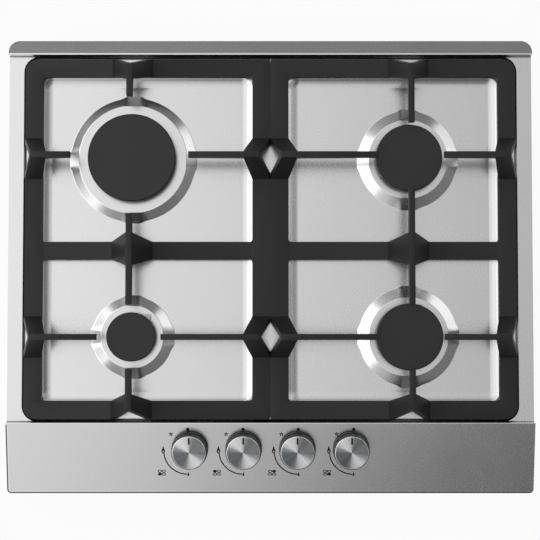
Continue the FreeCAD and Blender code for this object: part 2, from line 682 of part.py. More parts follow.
# ================================================================ bottom case
def case_outline(inset, z0, z1):
    """Plan of the case, with the open corner for the gas inlet."""
    body = rounded_block(inset - CASE_X, CASE_X - inset, inset - CASE_Y, CASE_Y - inset, z0, z1,
                         CASE_CORNER - inset, CASE_CORNER - inset)
    return body.cut(box(NOTCH_X - inset, FAR, NOTCH_Y - inset, FAR, z0 - 1, z1 + 1))


def bottom_case(space):
    case = case_outline(0, 0, CASE_TOP).cut(case_outline(CASE_SHEET, CASE_SHEET, CASE_TOP + 1))
    case = case.common(space)
    inner = CASE_FLANGE
    strips = case_outline(0, CASE_TOP - CASE_SHEET, CASE_TOP)
    strips = strips.cut(box(inner - CASE_X, CASE_X - inner, -FAR, CASE_Y - inner, 0, FAR))
    strips = strips.cut(box(-FAR, FAR, -FAR, FLANGE_FRONT_Y, 0, FAR))
    case = fuse([case, strips])
    cuts = [rod(x, y, CASE_TOP - 2 * CASE_SHEET, CASE_TOP + 1, STUD_RADIUS + STUD_HOLE_GAP)
            for x, y in stud_places()]
    rail_hole_y = V(RAIL_SIDE_X, NOTCH_Y - 3, PORT_Z)
    cuts.append(rod_between(rail_hole_y, V(RAIL_SIDE_X, NOTCH_Y + 3, PORT_Z), RAIL_RADIUS + RAIL_HOLE_GAP))
    cuts.append(rod_between(V(GLAND_X, CASE_Y - 3, GLAND_Z), V(GLAND_X, CASE_Y + 3, GLAND_Z), GLAND_RADIUS))
    for sx in (-1, 1):
        for sy in (-1, 1):
            cuts.append(rod(sx * (CASE_X - CLAMP_INSET_X), sy * (CASE_Y - CLAMP_INSET_Y), -1,
                            CASE_SHEET + 1, CLAMP_HOLE_RADIUS))
        for i in range(VENT_COUNT):
            y = VENT_Y + i * VENT_PITCH
            x = sx * VENT_X
            cuts.append(rounded_block(x - VENT_LENGTH / 2, x + VENT_LENGTH / 2, y, y + VENT_WIDTH, -1,
                                      CASE_SHEET + 1, VENT_WIDTH * 0.49, VENT_WIDTH * 0.49))
    for x, y in bracket_screw_places():
        cuts.append(rod(x, y, -1, CASE_SHEET + 1, SCREW_RADIUS))
    return case.cut(Part.Compound(cuts))


def case_fixings():
    """Studs welded under the plate and the nuts that hold the case on them."""
    top = CASE_TOP - CASE_SHEET
    fixings = []
    for x, y in stud_places():
        stud = rod(x, y, CASE_TOP - STUD_LENGTH, CASE_TOP, STUD_RADIUS)
        nut = hexagon(V(x, y, top - FIXING_NUT_HEIGHT), UP, FIXING_NUT_FLATS, FIXING_NUT_HEIGHT)
        fixings += [stud, nut.cut(stud)]
    return Part.Compound(fixings)


# ================================================================ pan supports
def arch_outline(lean_outer, lean_inner):
    """Corners of the leaning arch over a bar: u along the bar, v across it, z up."""
    rise = FINGER_Z - FRAME_TOP
    half = FINGER_WIDTH / 2
    slope = rise / (ARCH_HALF_SPAN - half)
    foot = ARCH_HALF_SPAN - ARCH_WALL
    profile = [(ARCH_HALF_SPAN, FRAME_TOP), (half, FINGER_Z), (-half, FINGER_Z),
               (-ARCH_HALF_SPAN, FRAME_TOP), (-foot, FRAME_TOP), (0, FRAME_TOP + foot * slope),
               (foot, FRAME_TOP)]
    outer = []
    inner = []
    for u, z in profile:
        share = (z - FRAME_TOP) / rise
        outer.append(V(u, lean_outer * share, z))
        inner.append(V(u, BAR_WIDTH + lean_inner * share, z))
    return outer, inner


def arch(lean_outer, lean_inner):
    outer, inner = arch_outline(lean_outer, lean_inner)
    rise = FINGER_Z - FRAME_TOP
    slope = rise / (ARCH_HALF_SPAN - FINGER_WIDTH / 2)
    foot = ARCH_HALF_SPAN - ARCH_WALL
    toe = foot + BAR_THICKNESS / slope
    pieces = [prism_between(outer, inner)]
    for side in (-1, 1):
        corners = [(foot, FRAME_TOP), (ARCH_HALF_SPAN, FRAME_TOP), (ARCH_HALF_SPAN, FRAME_Z),
                   (toe, FRAME_Z)]
        face = Part.Face(Part.makePolygon([V(side * u, 0, z) for u, z in corners + corners[:1]]))
        pieces.append(face.extrude(V(0, BAR_WIDTH, 0)))
    return fuse(pieces)


def finger(start, root, end):
    """Finger along v, from the arch's outer side to the burner; its underside rises to the tip."""
    half = FINGER_WIDTH / 2
    profile = [(start, FINGER_Z), (end, FINGER_Z), (end, FINGER_Z - FINGER_TIP_DEPTH),
               (root, FINGER_Z - FINGER_ROOT_DEPTH), (start, FINGER_Z - FINGER_ROOT_DEPTH)]
    face = Part.Face(Part.makePolygon([V(-half, v, z) for v, z in profile + profile[:1]]))
    return face.extrude(V(FINGER_WIDTH, 0, 0))


def set_on_bar(shape, x, y, turn):
    """Place a shape made with u along X and v along Y: v points to the burner after the turn."""
    moved = shape.copy()
    moved.Placement = FreeCAD.Placement(V(x, y, 0), FreeCAD.Rotation(UP, turn))
    return moved


def support_span():
    """Plan of one support: its inner and outer X and its front and rear Y."""
    return SUPPORT_INNER_X, SUPPORT_OUTER_X, SUPPORT_FRONT_Y, SUPPORT_REAR_Y


def support_frame():
    x0, x1, y0, y1 = support_span()
    wide = rounded_block(x0 - SUPPORT_CORNER, x1, y0, y1, FRAME_Z, FRAME_TOP, SUPPORT_CORNER, SUPPORT_CORNER)
    inner = rounded_block(x0, x1 + SUPPORT_CORNER, y0, y1, FRAME_Z, FRAME_TOP,
                          SUPPORT_INNER_CORNER, SUPPORT_INNER_CORNER)
    frame = wide.common(inner).removeSplitter()
    for low, high in ((y0 + BAR_WIDTH, MID_BAR_FRONT_Y), (MID_BAR_REAR_Y, y1 - BAR_WIDTH)):
        cell = rounded_block(x0 + BAR_WIDTH, x1 - BAR_WIDTH, low, high, FRAME_Z - 1, FRAME_TOP + 1,
                             CELL_CORNER, CELL_CORNER)
        frame = frame.cut(cell)
    return frame


def foot_places():
    x0, x1, y0, y1 = support_span()
    half = BAR_WIDTH / 2
    for x in (x0 + half, x1 - half):
        for y in (y0 + half, MID_BAR_FRONT_Y + half, y1 - half):
            yield x, y


def pan_support(side):
    """Cast frame with an arch and a finger towards each burner, made for +X and mirrored for -X."""
    x0, x1, y0, y1 = support_span()
    front, rear = [next(b for b in BURNERS if b.side == side and b.y == y)
                   for y in (BURNER_FRONT_Y, BURNER_REAR_Y)]
    edge_arch = arch(ARCH_LEAN_OUTER, ARCH_LEAN_INNER)
    mid_arch = arch(-MID_ARCH_SPREAD, MID_ARCH_SPREAD)
    gap = box(-ARCH_HALF_SPAN, ARCH_HALF_SPAN, -1, BAR_WIDTH + 1, FRAME_Z - 1, FRAME_TOP + 1)
    root = BAR_WIDTH + ARCH_LEAN_INNER
    # bar's outer face, turn of the finger's direction, distance from that face to the burner's axis
    edge_bars = ((BURNER_X, y0, 0, front, front.y - y0), (BURNER_X, y1, 180, rear, y1 - rear.y))
    for burner in (front, rear):
        edge_bars += ((x0, burner.y, -90, burner, BURNER_X - x0), (x1, burner.y, 90, burner, x1 - BURNER_X))
    gaps = []
    pieces = []
    for x, y, turn, burner, reach in edge_bars:
        gaps.append(set_on_bar(gap, x, y, turn))
        pieces.append(set_on_bar(edge_arch, x, y, turn))
        pieces.append(set_on_bar(finger(ARCH_LEAN_OUTER, root, reach - burner.finger_r), x, y, turn))
    gaps.append(set_on_bar(gap, BURNER_X, MID_BAR_FRONT_Y, 0))
    pieces.append(set_on_bar(mid_arch, BURNER_X, MID_BAR_FRONT_Y, 0))
    root = BAR_WIDTH + MID_ARCH_SPREAD
    start = BAR_WIDTH / 2
    rear_reach = rear.y - MID_BAR_FRONT_Y - rear.finger_r
    front_reach = MID_BAR_REAR_Y - front.y - front.finger_r
    pieces.append(set_on_bar(finger(start, root, rear_reach), BURNER_X, MID_BAR_FRONT_Y, 0))
    pieces.append(set_on_bar(finger(start, root, front_reach), BURNER_X, MID_BAR_REAR_Y, 180))
    support = support_frame().cut(Part.Compound(gaps))
    support = fuse([support] + pieces)
    sockets = [rod(x, y, FRAME_Z - 1, FRAME_Z + FOOT_STEM_LENGTH, FOOT_STEM_RADIUS)
               for x, y in foot_places()]
    support = support.cut(Part.Compound(sockets))
    return support if side > 0 else support.mirror(V(0, 0, 0), V(1, 0, 0))


def support_feet(side):
    feet = []
    for x, y in foot_places():
        pad = rod(side * x, y, LEDGE_Z, FRAME_Z, FOOT_RADIUS)
        feet.append(pad.fuse(rod(side * x, y, FRAME_Z, FRAME_Z + FOOT_STEM_LENGTH, FOOT_STEM_RADIUS)))
    return Part.Compound(feet)


# ================================================================ burners
def burner_cup(burner):
    """Burner body under the plate: flange, collar through the plate, bowl and gas boss."""
    flange_r = burner.plateau_top_r - CUP_FLANGE_INSET
    collar = collar_radius(burner)
    bore = collar - COLLAR_WALL
    bowl = bowl_radius(burner)
    floor = CUP_CORE_TOP
    cup = lathe([(0, CUP_BOTTOM), (CUP_CORE_RADIUS, CUP_BOTTOM), (CUP_CORE_RADIUS, floor - CUP_FLOOR),
                 (bowl, floor - CUP_FLOOR), (bowl, CUP_TOP - CUP_FLANGE), (flange_r, CUP_TOP - CUP_FLANGE),
                 (flange_r, CUP_TOP), (collar, CUP_TOP), (collar, CROWN_Z), (bore, CROWN_Z),
                 (bore, floor), (0, floor)])
    way = -burner.side
    centre = V(0, 0, PORT_Z)
    boss = rod_between(centre, V(way * (boss_end(burner) - NUT_OVER_NIPPLE), 0, PORT_Z), CUP_BOSS_RADIUS)
    nipple = rod_between(centre, V(way * boss_end(burner), 0, PORT_Z), NIPPLE_RADIUS)
    cup = fuse([cup, boss, nipple])
    cuts = [rod_between(centre, V(way * (boss_end(burner) + 1), 0, PORT_Z), TUBE_BORE),
            rod(0, 0, PORT_Z, floor + 1, JET_THREAD_RADIUS)]
    ex, ey = polar(burner.electrode_r, burner.electrode_angle)
    cuts.append(rod(ex, ey, CUP_TOP - CUP_FLANGE - 1, CUP_TOP + 1, CERAMIC_RADIUS))
    px, py = probe_place(burner)
    cuts.append(rod(px - burner_x(burner), py - burner.y, CUP_BOTTOM, CUP_TOP + 1, PROBE_RADIUS))
    for x, y in screw_places(burner):
        cuts.append(rod(x - burner_x(burner), y - burner.y, CUP_BOTTOM, CUP_TOP + 1, SCREW_RADIUS))
    cup = cup.cut(Part.Compound(cuts))
    return cup.translated(V(burner_x(burner), burner.y, 0))


def burner_crown(burner):
    """Flame spreader: skirt in the cup's collar, venturi, ring of ports, groove over the screws."""
    outer = crown_radius(burner)
    skirt = collar_radius(burner) - COLLAR_WALL - SKIRT_GAP
    groove = collar_radius(burner) + COLLAR_GAP
    ceiling = CROWN_Z + GROOVE_HEIGHT
    floor = CAP_Z - PORT_HEIGHT
    ring = outer - CROWN_WALL
    venturi = burner.venturi_r
    skirt_z = CROWN_Z - SKIRT_DEPTH
    crown = lathe([(skirt - SKIRT_WALL, skirt_z), (skirt, skirt_z), (skirt, CROWN_Z), (groove, CROWN_Z),
                   (groove, ceiling), (outer - CROWN_LIP, ceiling), (outer - CROWN_LIP, CROWN_Z),
                   (outer, CROWN_Z), (outer, CAP_Z), (ring, CAP_Z), (ring, floor), (venturi, floor),
                   (venturi, CROWN_Z), (skirt - SKIRT_WALL, CROWN_Z)])
    tube_r = venturi + VENTURI_WALL
    tube = lathe([(venturi, CROWN_Z - VENTURI_DEPTH), (tube_r, CROWN_Z - VENTURI_DEPTH), (tube_r, floor),
                  (venturi, floor)])
    crown = fuse([crown, tube])
    slots = []
    for i in range(burner.ports):
        slot = box(ring - 1, outer + 1, -PORT_WIDTH / 2, PORT_WIDTH / 2, floor, CAP_Z + 1)
        slot.rotate(V(0, 0, 0), UP, 360 * (i + 0.5) / burner.ports)
        slots.append(slot)
    crown = crown.cut(Part.Compound(slots))
    return crown.translated(V(burner_x(burner), burner.y, 0))


def burner_cap(burner):
    top = CAP_Z + CAP_THICKNESS
    spigot = crown_radius(burner) - CROWN_WALL - SPIGOT_GAP
    cap = lathe([(0, CAP_Z + CAP_SPIGOT / 2), (spigot - SPIGOT_WALL, CAP_Z + CAP_SPIGOT / 2),
                 (spigot - SPIGOT_WALL, CAP_Z - CAP_SPIGOT), (spigot, CAP_Z - CAP_SPIGOT), (spigot, CAP_Z),
                 (burner.cap_r, CAP_Z), (burner.cap_r, top - CAP_BEVEL), (burner.cap_r - CAP_BEVEL, top),
                 (0, top)])
    return cap.translated(V(burner_x(burner), burner.y, 0))


def assembly_screws():
    screws = []
    for burner in BURNERS:
        for x, y in screw_places(burner):
            head = rod(x, y, PLATEAU_Z, PLATEAU_Z + SCREW_HEAD_HEIGHT, SCREW_HEAD_RADIUS)
            screws.append(head.fuse(rod(x, y, CUP_TOP - CUP_FLANGE, PLATEAU_Z, SCREW_RADIUS)))
    for x, y in bracket_screw_places():
        head_z = CASE_SHEET + BRACKET_SHEET
        head = rod(x, y, head_z, head_z + SCREW_HEAD_HEIGHT, SCREW_HEAD_RADIUS)
        screws.append(head.fuse(rod(x, y, 0, head_z, SCREW_RADIUS)))
    return Part.Compound(screws)


def injectors():
    jets = []
    for burner in BURNERS:
        x = burner_x(burner)
        base = CUP_CORE_TOP
        nose = base + JET_HEX_HEIGHT + JET_NOSE_HEIGHT
        jet = hexagon(V(x, burner.y, base), UP, 2 * JET_HEX_RADIUS, JET_HEX_HEIGHT)
        jet = fuse([jet, rod(x, burner.y, base, nose, JET_NOSE_RADIUS),
                    rod(x, burner.y, PORT_Z + TUBE_BORE, base, JET_THREAD_RADIUS)])
        jets.append(jet.cut(rod(x, burner.y, 0, FAR, burner.jet_r)))
    return Part.Compound(jets)


def spark_ceramics():
    ceramics = []
    for burner in BURNERS:
        x, y = electrode_place(burner)
        low = CUP_TOP - CUP_FLANGE - CERAMIC_BELOW_FLANGE
        ceramic = rod(x, y, low, WORKTOP + CERAMIC_TOP, CERAMIC_RADIUS)
        px, py = pin_place(burner)
        ceramics.append(ceramic.cut(rod(px, py, 0, FAR, PIN_RADIUS)))
    return Part.Compound(ceramics)


def spark_pins():
    low = CUP_TOP - CUP_FLANGE - CERAMIC_BELOW_FLANGE
    return Part.Compound([rod(*pin_place(burner), low, WORKTOP + PIN_TOP, PIN_RADIUS)
                          for burner in BURNERS])


def thermocouples():
    """Probe beside each crown with its capillary run back to the valve's magnet unit."""
    probes = []
    for burner in BURNERS:
        x, y = probe_place(burner)
        low = CUP_TOP - CUP_FLANGE - PROBE_BELOW_FLANGE
        probe = rod(x, y, low, WORKTOP + PROBE_TOP, PROBE_RADIUS)
        valve = valve_of(burner)
        route = [V(x, y, low + 1), V(x, y, MAGNET_Z), V(valve, y, MAGNET_Z),
                 V(valve, MAGNET_Y, MAGNET_Z)]
        magnet = at_knob(rod(0, 0, -MAGNET_END, -BODY_END, MAGNET_RADIUS), valve)
        probes.append(fuse([probe, pipe(route, CAPILLARY_RADIUS, CAPILLARY_BEND).cut(magnet)]))
    return Part.Compound(probes)


# ================================================================ gas way
def supply_route(burner):
    valve = valve_of(burner)
    end = burner_x(burner) - burner.side * boss_end(burner)
    return [V(valve, TUBE_START_Y, PORT_Z), V(valve, burner.y, PORT_Z), V(end, burner.y, PORT_Z)]


def supply_tubes():
    tubes = []
    for burner in BURNERS:
        route = supply_route(burner)
        tubes.append(pipe(route, TUBE_RADIUS, TUBE_BEND).cut(pipe(route, TUBE_BORE, TUBE_BEND)))
    return Part.Compound(tubes)


def tube_nuts():
    """Nut at each end of each supply tube, over the nipple it screws on."""
    nuts = []
    for burner in BURNERS:
        route = supply_route(burner)
        for end in (route[0], route[2]):
            along = (route[1] - end).normalize()
            start = end - along * NUT_OVER_NIPPLE
            nut = hexagon(start, along, NUT_FLATS, NUT_LENGTH)
            nut = nut.cut(rod_between(start - along, end, NIPPLE_RADIUS))
            nuts.append(nut.cut(rod_between(end - along, end + along * FAR, TUBE_RADIUS)))
    return Part.Compound(nuts)


def gas_rail():
    left = V(KNOB_XS[0] - RAIL_END_MARGIN, RAIL_Y, PORT_Z)
    end_y = ELBOW_SOCKET_END + RAIL_SOCKET_DEPTH
    route = [left, V(RAIL_SIDE_X, RAIL_Y, PORT_Z), V(RAIL_SIDE_X, end_y, PORT_Z)]
    bore = [left + V(3, 0, 0)] + route[1:]
    rail = pipe(route, RAIL_RADIUS, RAIL_BEND).cut(pipe(bore, RAIL_BORE, RAIL_BEND))
    ports = [rod_between(V(x, RAIL_Y, PORT_Z), V(x, PORT_Y, PORT_Z), PORT_RADIUS) for x in KNOB_XS]
    return rail.cut(Part.Compound(ports))


def inlet_elbow():
    centre = V(RAIL_SIDE_X, INLET_Y, PORT_Z)
    pieces = [rod(centre.x, centre.y, INLET_BOTTOM, PORT_Z, INLET_THREAD_RADIUS),
              rod(centre.x, centre.y, INLET_THREAD_TOP, PORT_Z + ELBOW_HEAD, ELBOW_RADIUS),
              rod_between(V(centre.x, ELBOW_SOCKET_END, PORT_Z), centre, ELBOW_SOCKET_RADIUS)]
    elbow = fuse(pieces)
    mouth = V(centre.x, ELBOW_SOCKET_END - 1, PORT_Z)
    bores = [rod(centre.x, centre.y, 0, PORT_Z + RAIL_SOCKET_BORE / 2, INLET_BORE),
             rod_between(mouth, centre, RAIL_SOCKET_BORE),
             rod_between(mouth, mouth + V(0, 1 + RAIL_SOCKET_DEPTH, 0), RAIL_RADIUS)]
    return elbow.cut(Part.Compound(bores))


# ================================================================ valves and knobs
def valve_body():
    """Tap body: neck through the bracket, spring chamber, tapered bore, magnet unit, gas ways."""
    body = lathe([(0, -MAGNET_END), (MAGNET_RADIUS, -MAGNET_END), (MAGNET_RADIUS, -BODY_END),
                  (VALVE_RADIUS, -BODY_END), (VALVE_RADIUS, -BRACKET_DEPTH - BRACKET_SHEET),
                  (NECK_RADIUS, -BRACKET_DEPTH - BRACKET_SHEET), (NECK_RADIUS, -NECK_START),
                  (0, -NECK_START)])
    body = at_knob(body, 0)
    port = V(0, PORT_Y, PORT_Z)
    outlet = rod_between(port, V(0, TUBE_START_Y, PORT_Z), NIPPLE_RADIUS)
    half = NIPPLE_RADIUS + 2
    saddle = box(-half, half, RAIL_Y, PORT_Y, PORT_Z - half, PORT_Z + half)
    body = fuse([body, outlet, saddle])
    rail = rod_between(V(-FAR, RAIL_Y, PORT_Z), V(FAR, RAIL_Y, PORT_Z), RAIL_RADIUS)
    cavity = lathe([(0, -NECK_START + 1), (NECK_BORE_RADIUS, -NECK_START + 1),
                    (NECK_BORE_RADIUS, -CHAMBER_START), (CHAMBER_RADIUS, -CHAMBER_START),
                    (CHAMBER_RADIUS, -PLUG_START), (PLUG_TOP_RADIUS + PLUG_GAP, -PLUG_START),
                    (PLUG_BOTTOM_RADIUS + PLUG_GAP, -PLUG_END), (0, -PLUG_END)])
    gas_way = rod_between(V(0, RAIL_Y, PORT_Z), V(0, TUBE_START_Y + 1, PORT_Z), PORT_RADIUS)
    return body.cut(Part.Compound([rail, at_knob(cavity, 0), gas_way]))


def valve_plug():
    top = PLUG_START + PLUG_END_GAP
    bottom = PLUG_END - PLUG_END_GAP
    taper = (PLUG_TOP_RADIUS - PLUG_BOTTOM_RADIUS) / (PLUG_END - PLUG_START)
    plug = lathe([(0, -bottom), (PLUG_TOP_RADIUS - taper * (bottom - PLUG_START), -bottom),
                  (PLUG_TOP_RADIUS - taper * PLUG_END_GAP, -top), (0, -top)])
    slot = box(-FAR, FAR, -PLUG_SLOT_WIDTH / 2, PLUG_SLOT_WIDTH / 2, -top - PLUG_SLOT_DEPTH, 0)
    way = rod_between(V(-FAR, 0, -PORT_DEPTH - 2 * PORT_RADIUS), V(FAR, 0, -PORT_DEPTH - 2 * PORT_RADIUS),
                      PORT_RADIUS / 2)
    return at_knob(plug.cut(Part.Compound([slot, way])), 0)


def valve_spindle():
    """Round spindle with a spring collar and a flat tongue that turns the gas plug."""
    shoulder = COLLAR_START + COLLAR_THICKNESS
    plug_top = PLUG_START + PLUG_END_GAP
    tongue_bottom = plug_top + TONGUE_INTO_SLOT
    spindle = fuse([rod(0, 0, -shoulder, SPINDLE_INTO_KNOB, SPINDLE_RADIUS),
                    rod(0, 0, -shoulder, -COLLAR_START, SPINDLE_COLLAR_RADIUS),
                    box(-TONGUE_HALF_SPAN, TONGUE_HALF_SPAN, -TONGUE_WIDTH / 2, TONGUE_WIDTH / 2,
                        -tongue_bottom, -shoulder)])
    return at_knob(spindle, 0)


def valve_spring():
    """Push-return spring between the plug and the spindle's collar, as a plain sleeve."""
    low = -PLUG_START - PLUG_END_GAP
    high = -COLLAR_START - COLLAR_THICKNESS
    sleeve = rod(0, 0, low, high, SPRING_OUTER_RADIUS)
    return at_knob(sleeve.cut(rod(0, 0, low, high, SPRING_INNER_RADIUS)), 0)


def knob():
    """Moulded knob: skirt, knurled grip, hollow underside and a boss on the spindle."""
    seat = KNOB_TOP - KNOB_FACE_THICKNESS
    cone = KNOB_LIFT + KNOB_SKIRT_HEIGHT
    grip = cone + KNOB_CONE_HEIGHT
    skirt = lathe([(0, KNOB_LIFT), (KNOB_SKIRT_RADIUS, KNOB_LIFT), (KNOB_SKIRT_RADIUS, cone),
                   (KNURL_RADIUS + 0.2, grip), (0, grip)])
    points = []
    for i in range(2 * KNURL_COUNT + 1):
        radius = KNURL_RADIUS - (KNURL_DEPTH if i % 2 else 0)
        dx, dy = polar(radius, 180 / KNURL_COUNT * i)
        points.append(V(dx, dy, grip))
    knurl = Part.Face(Part.makePolygon(points)).extrude(V(0, 0, seat - grip))
    body = fuse([skirt, knurl])
    hollow = rod(0, 0, KNOB_LIFT - 1, seat - KNOB_TOP_WALL, KNURL_RADIUS - KNURL_DEPTH - KNOB_WALL)
    hollow = hollow.cut(rod(0, 0, 0, FAR, KNOB_BOSS_RADIUS))
    return at_knob(body.cut(hollow).cut(rod(0, 0, 0, SPINDLE_INTO_KNOB, SPINDLE_RADIUS)), 0)


def knob_face():
    """Metal disc on the knob, with a groove as its pointer."""
    seat = KNOB_TOP - KNOB_FACE_THICKNESS
    disc = lathe([(0, seat), (KNOB_FACE_RADIUS, seat), (KNOB_FACE_RADIUS, KNOB_TOP - KNOB_FACE_BEVEL),
                  (KNOB_FACE_RADIUS - KNOB_FACE_BEVEL, KNOB_TOP), (0, KNOB_TOP)])
    pointer = box(-POINTER_WIDTH / 2, POINTER_WIDTH / 2, POINTER_INNER, POINTER_OUTER,
                  KNOB_TOP - POINTER_DEPTH, KNOB_TOP + 1)
    return at_knob(disc.cut(pointer), 0)


def bracket_leg_x():
    return KNOB_XS[-1] + BRACKET_OVERHANG


def bracket_screw_places():
    for side in (-1, 1):
        for y in (KNOB_Y - BRACKET_LEG_FRONT / 2, KNOB_Y + BRACKET_REAR * 0.6):
            yield side * (bracket_leg_x() + BRACKET_FOOT / 2), y


def valve_bracket():
    """Steel bridge under the control panel that carries the four taps."""
    leg = bracket_leg_x()
    bridge = box(-leg, leg, -BRACKET_FRONT, BRACKET_REAR, -BRACKET_DEPTH - BRACKET_SHEET, -BRACKET_DEPTH)
    bridge = at_knob(bridge, 0)
    above = at_knob(box(-FAR, FAR, -FAR, FAR, -BRACKET_DEPTH, FAR), 0)
    pieces = [bridge]
    for side in (-1, 1):
        xs = sorted((side * leg, side * (leg - BRACKET_SHEET)))
        wall = box(xs[0], xs[1], KNOB_Y - BRACKET_LEG_FRONT, KNOB_Y + BRACKET_REAR, CASE_SHEET, PANEL_Z)
        pieces.append(wall.cut(above))
        xs = sorted((side * (leg - BRACKET_SHEET), side * (leg + BRACKET_FOOT)))
        pieces.append(box(xs[0], xs[1], KNOB_Y - BRACKET_LEG_FRONT, KNOB_Y + BRACKET_REAR, CASE_SHEET,
                          CASE_SHEET + BRACKET_SHEET))
    bracket = fuse(pieces)
    cuts = [at_knob(rod(0, 0, -BRACKET_DEPTH - 3, -BRACKET_DEPTH + 3, NECK_RADIUS + PLATE_HOLE_GAP), x)
            for x in KNOB_XS]
    cuts += [rod(x, y, 0, CASE_SHEET + 4, SCREW_RADIUS) for x, y in bracket_screw_places()]
    return bracket.cut(Part.Compound(cuts))


def microswitches():
    """Ignition switch beside each spindle, on the bracket."""
    switches = []
    for x in KNOB_XS:
        half = SWITCH_LENGTH / 2
        base = -BRACKET_DEPTH
        block = box(SWITCH_OFFSET, SWITCH_OFFSET + SWITCH_WIDTH, -half, half, base, base + SWITCH_HEIGHT)
        plunger = rod(SWITCH_OFFSET + SWITCH_WIDTH / 2, half / 2, base + SWITCH_HEIGHT,
                      base + SWITCH_HEIGHT + SWITCH_PLUNGER, SWITCH_PLUNGER)
        switches.append(at_knob(block.fuse(plunger), x))
    return Part.Compound(switches)


# ================================================================ electrical
def ignition_generator():
    x0, x1 = IGNITER_X
    y0, y1 = IGNITER_Y
    case = box(x0, x1, y0, y1, CASE_SHEET, CASE_SHEET + IGNITER_HEIGHT)
    lugs = [box(x0 + IGNITER_LUG_INSET, x1 - IGNITER_LUG_INSET, y, y + IGNITER_LUG, CASE_SHEET,
                CASE_SHEET + IGNITER_LUG_THICKNESS) for y in (y0 - IGNITER_LUG, y1)]
    return fuse([case] + lugs)


def ignition_leads():
    """High-voltage lead from the generator to each electrode."""
    leads = []
    for burner, start in zip(BURNERS, LEAD_STARTS):
        x, y = pin_place(burner)
        start_y = IGNITER_Y[0] + start
        top = CUP_TOP - CUP_FLANGE - CERAMIC_BELOW_FLANGE
        route = [V(IGNITER_X[1], start_y, LEAD_Z), V(x, start_y, LEAD_Z), V(x, y, LEAD_Z), V(x, y, top)]
        leads.append(pipe(route, LEAD_RADIUS, LEAD_BEND))
    return Part.Compound(leads)


def terminal_block():
    x0, x1 = TERMINAL_X
    y0, y1 = TERMINAL_Y
    top = CASE_SHEET + TERMINAL_HEIGHT
    block = box(x0, x1, y0, y1, CASE_SHEET, top)
    wells = []
    for i in range(3):
        x = x0 + (x1 - x0) * (i + 0.5) / 3
        for y in (y0 + TERMINAL_SCREW_INSET, y1 - TERMINAL_SCREW_INSET):
            wells.append(rod(x, y, top - TERMINAL_SCREW_DEPTH, top + 1, TERMINAL_SCREW_RADIUS))
    return block.cut(Part.Compound(wells))


def cable_gland():
    outside = CASE_Y + GLAND_OUTSIDE
    start = V(GLAND_X, outside, GLAND_Z)
    end = V(GLAND_X, outside - GLAND_LENGTH, GLAND_Z)
    barrel = rod_between(end, start, GLAND_RADIUS)
    flange = rod_between(V(GLAND_X, CASE_Y, GLAND_Z), V(GLAND_X, CASE_Y + GLAND_FLANGE, GLAND_Z),
                         GLAND_FLANGE_RADIUS)
    gland = fuse([barrel, flange])
    return gland.cut(rod_between(end - V(0, 1, 0), start + V(0, 1, 0), GLAND_BORE))


def wiring():
    """Two mains wires to the generator and the switch wires along the front."""
    z = CASE_SHEET + WIRE_RADIUS + LEAD_LIFT
    wires = []
    over_lug = z + IGNITER_LUG_THICKNESS
    for x in (IGNITER_X[0] + inset for inset in MAINS_WIRES):
        wires.append(rod_between(V(x, IGNITER_Y[1], over_lug), V(x, TERMINAL_Y[0], over_lug), WIRE_RADIUS))
    half = SWITCH_LENGTH / 2
    level = -BRACKET_DEPTH + SWITCH_HEIGHT / 2
    side = math.sin(PANEL_SLOPE)
    rise = math.cos(PANEL_SLOPE)
    end_y = KNOB_Y + half * rise - level * side - WIRE_RADIUS
    end_z = PANEL_Z + half * side + level * rise
    behind = end_y + 3 * WIRE_BEND
    drop_x = -bracket_leg_x() - BRACKET_FOOT - 2 * WIRE_BEND
    first = KNOB_XS[0] + SWITCH_OFFSET + SWITCH_WIDTH / 2
    x = (IGNITER_X[0] + IGNITER_X[1]) / 2
    low = z + 4
    route = [V(first, end_y, end_z), V(first, behind, end_z), V(drop_x, behind, end_z),
             V(drop_x, behind, low), V(x, behind, low), V(x, IGNITER_Y[0], low)]
    wires.append(pipe(route, WIRE_RADIUS, WIRE_BEND))
    for left, right in zip(KNOB_XS, KNOB_XS[1:]):
        a = left + SWITCH_OFFSET + SWITCH_WIDTH * 0.75
        b = right + SWITCH_OFFSET + SWITCH_WIDTH * 0.25
        loop = [V(a, end_y, end_z), V(a, behind, end_z), V(b, behind, end_z), V(b, end_y, end_z)]
        wires.append(pipe(loop, WIRE_RADIUS, WIRE_BEND))
    return Part.Compound([wire.cut(microswitches()) for wire in wires])


# ================================================================ build
def build():
    space = plate_block(SHEET, 0)
    nodes = {
        "top_plate": top_plate(space),
        "bottom_case": bottom_case(space),
        "rim_seal": rim_seal(),
        "case_fixings": case_fixings(),
        "pan_support_left": pan_support(-1),
        "pan_support_right": pan_support(1),
        "support_feet_left": support_feet(-1),
        "support_feet_right": support_feet(1),
        "assembly_screws": assembly_screws(),
        "injectors": injectors(),
        "spark_ceramics": spark_ceramics(),
        "spark_pins": spark_pins(),
        "thermocouples": thermocouples(),
        "supply_tubes": supply_tubes(),
        "tube_nuts": tube_nuts(),
        "gas_rail": gas_rail(),
        "gas_inlet_elbow": inlet_elbow(),
        "valve_bracket": valve_bracket(),
        "microswitches": microswitches(),
        "ignition_generator": ignition_generator(),
        "ignition_leads": ignition_leads(),
        "terminal_block": terminal_block(),
        "cable_gland": cable_gland(),
        "wiring": wiring(),
    }
    for burner in BURNERS:
        nodes["burner_cup_" + burner.name] = burner_cup(burner)
        nodes["burner_crown_" + burner.name] = burner_crown(burner)
        nodes["burner_cap_" + burner.name] = burner_cap(burner)
    control = {
        "valve_body": valve_body(),
        "valve_plug": valve_plug(),
        "valve_spindle": valve_spindle(),
        "valve_spring": valve_spring(),
        "knob": knob(),
        "knob_face": knob_face(),
    }
    for number, x in enumerate(KNOB_XS, start=1):
        for name, shape in control.items():
            nodes["%s_%d" % (name, number)] = shape.translated(V(x, 0, 0))
    return nodes


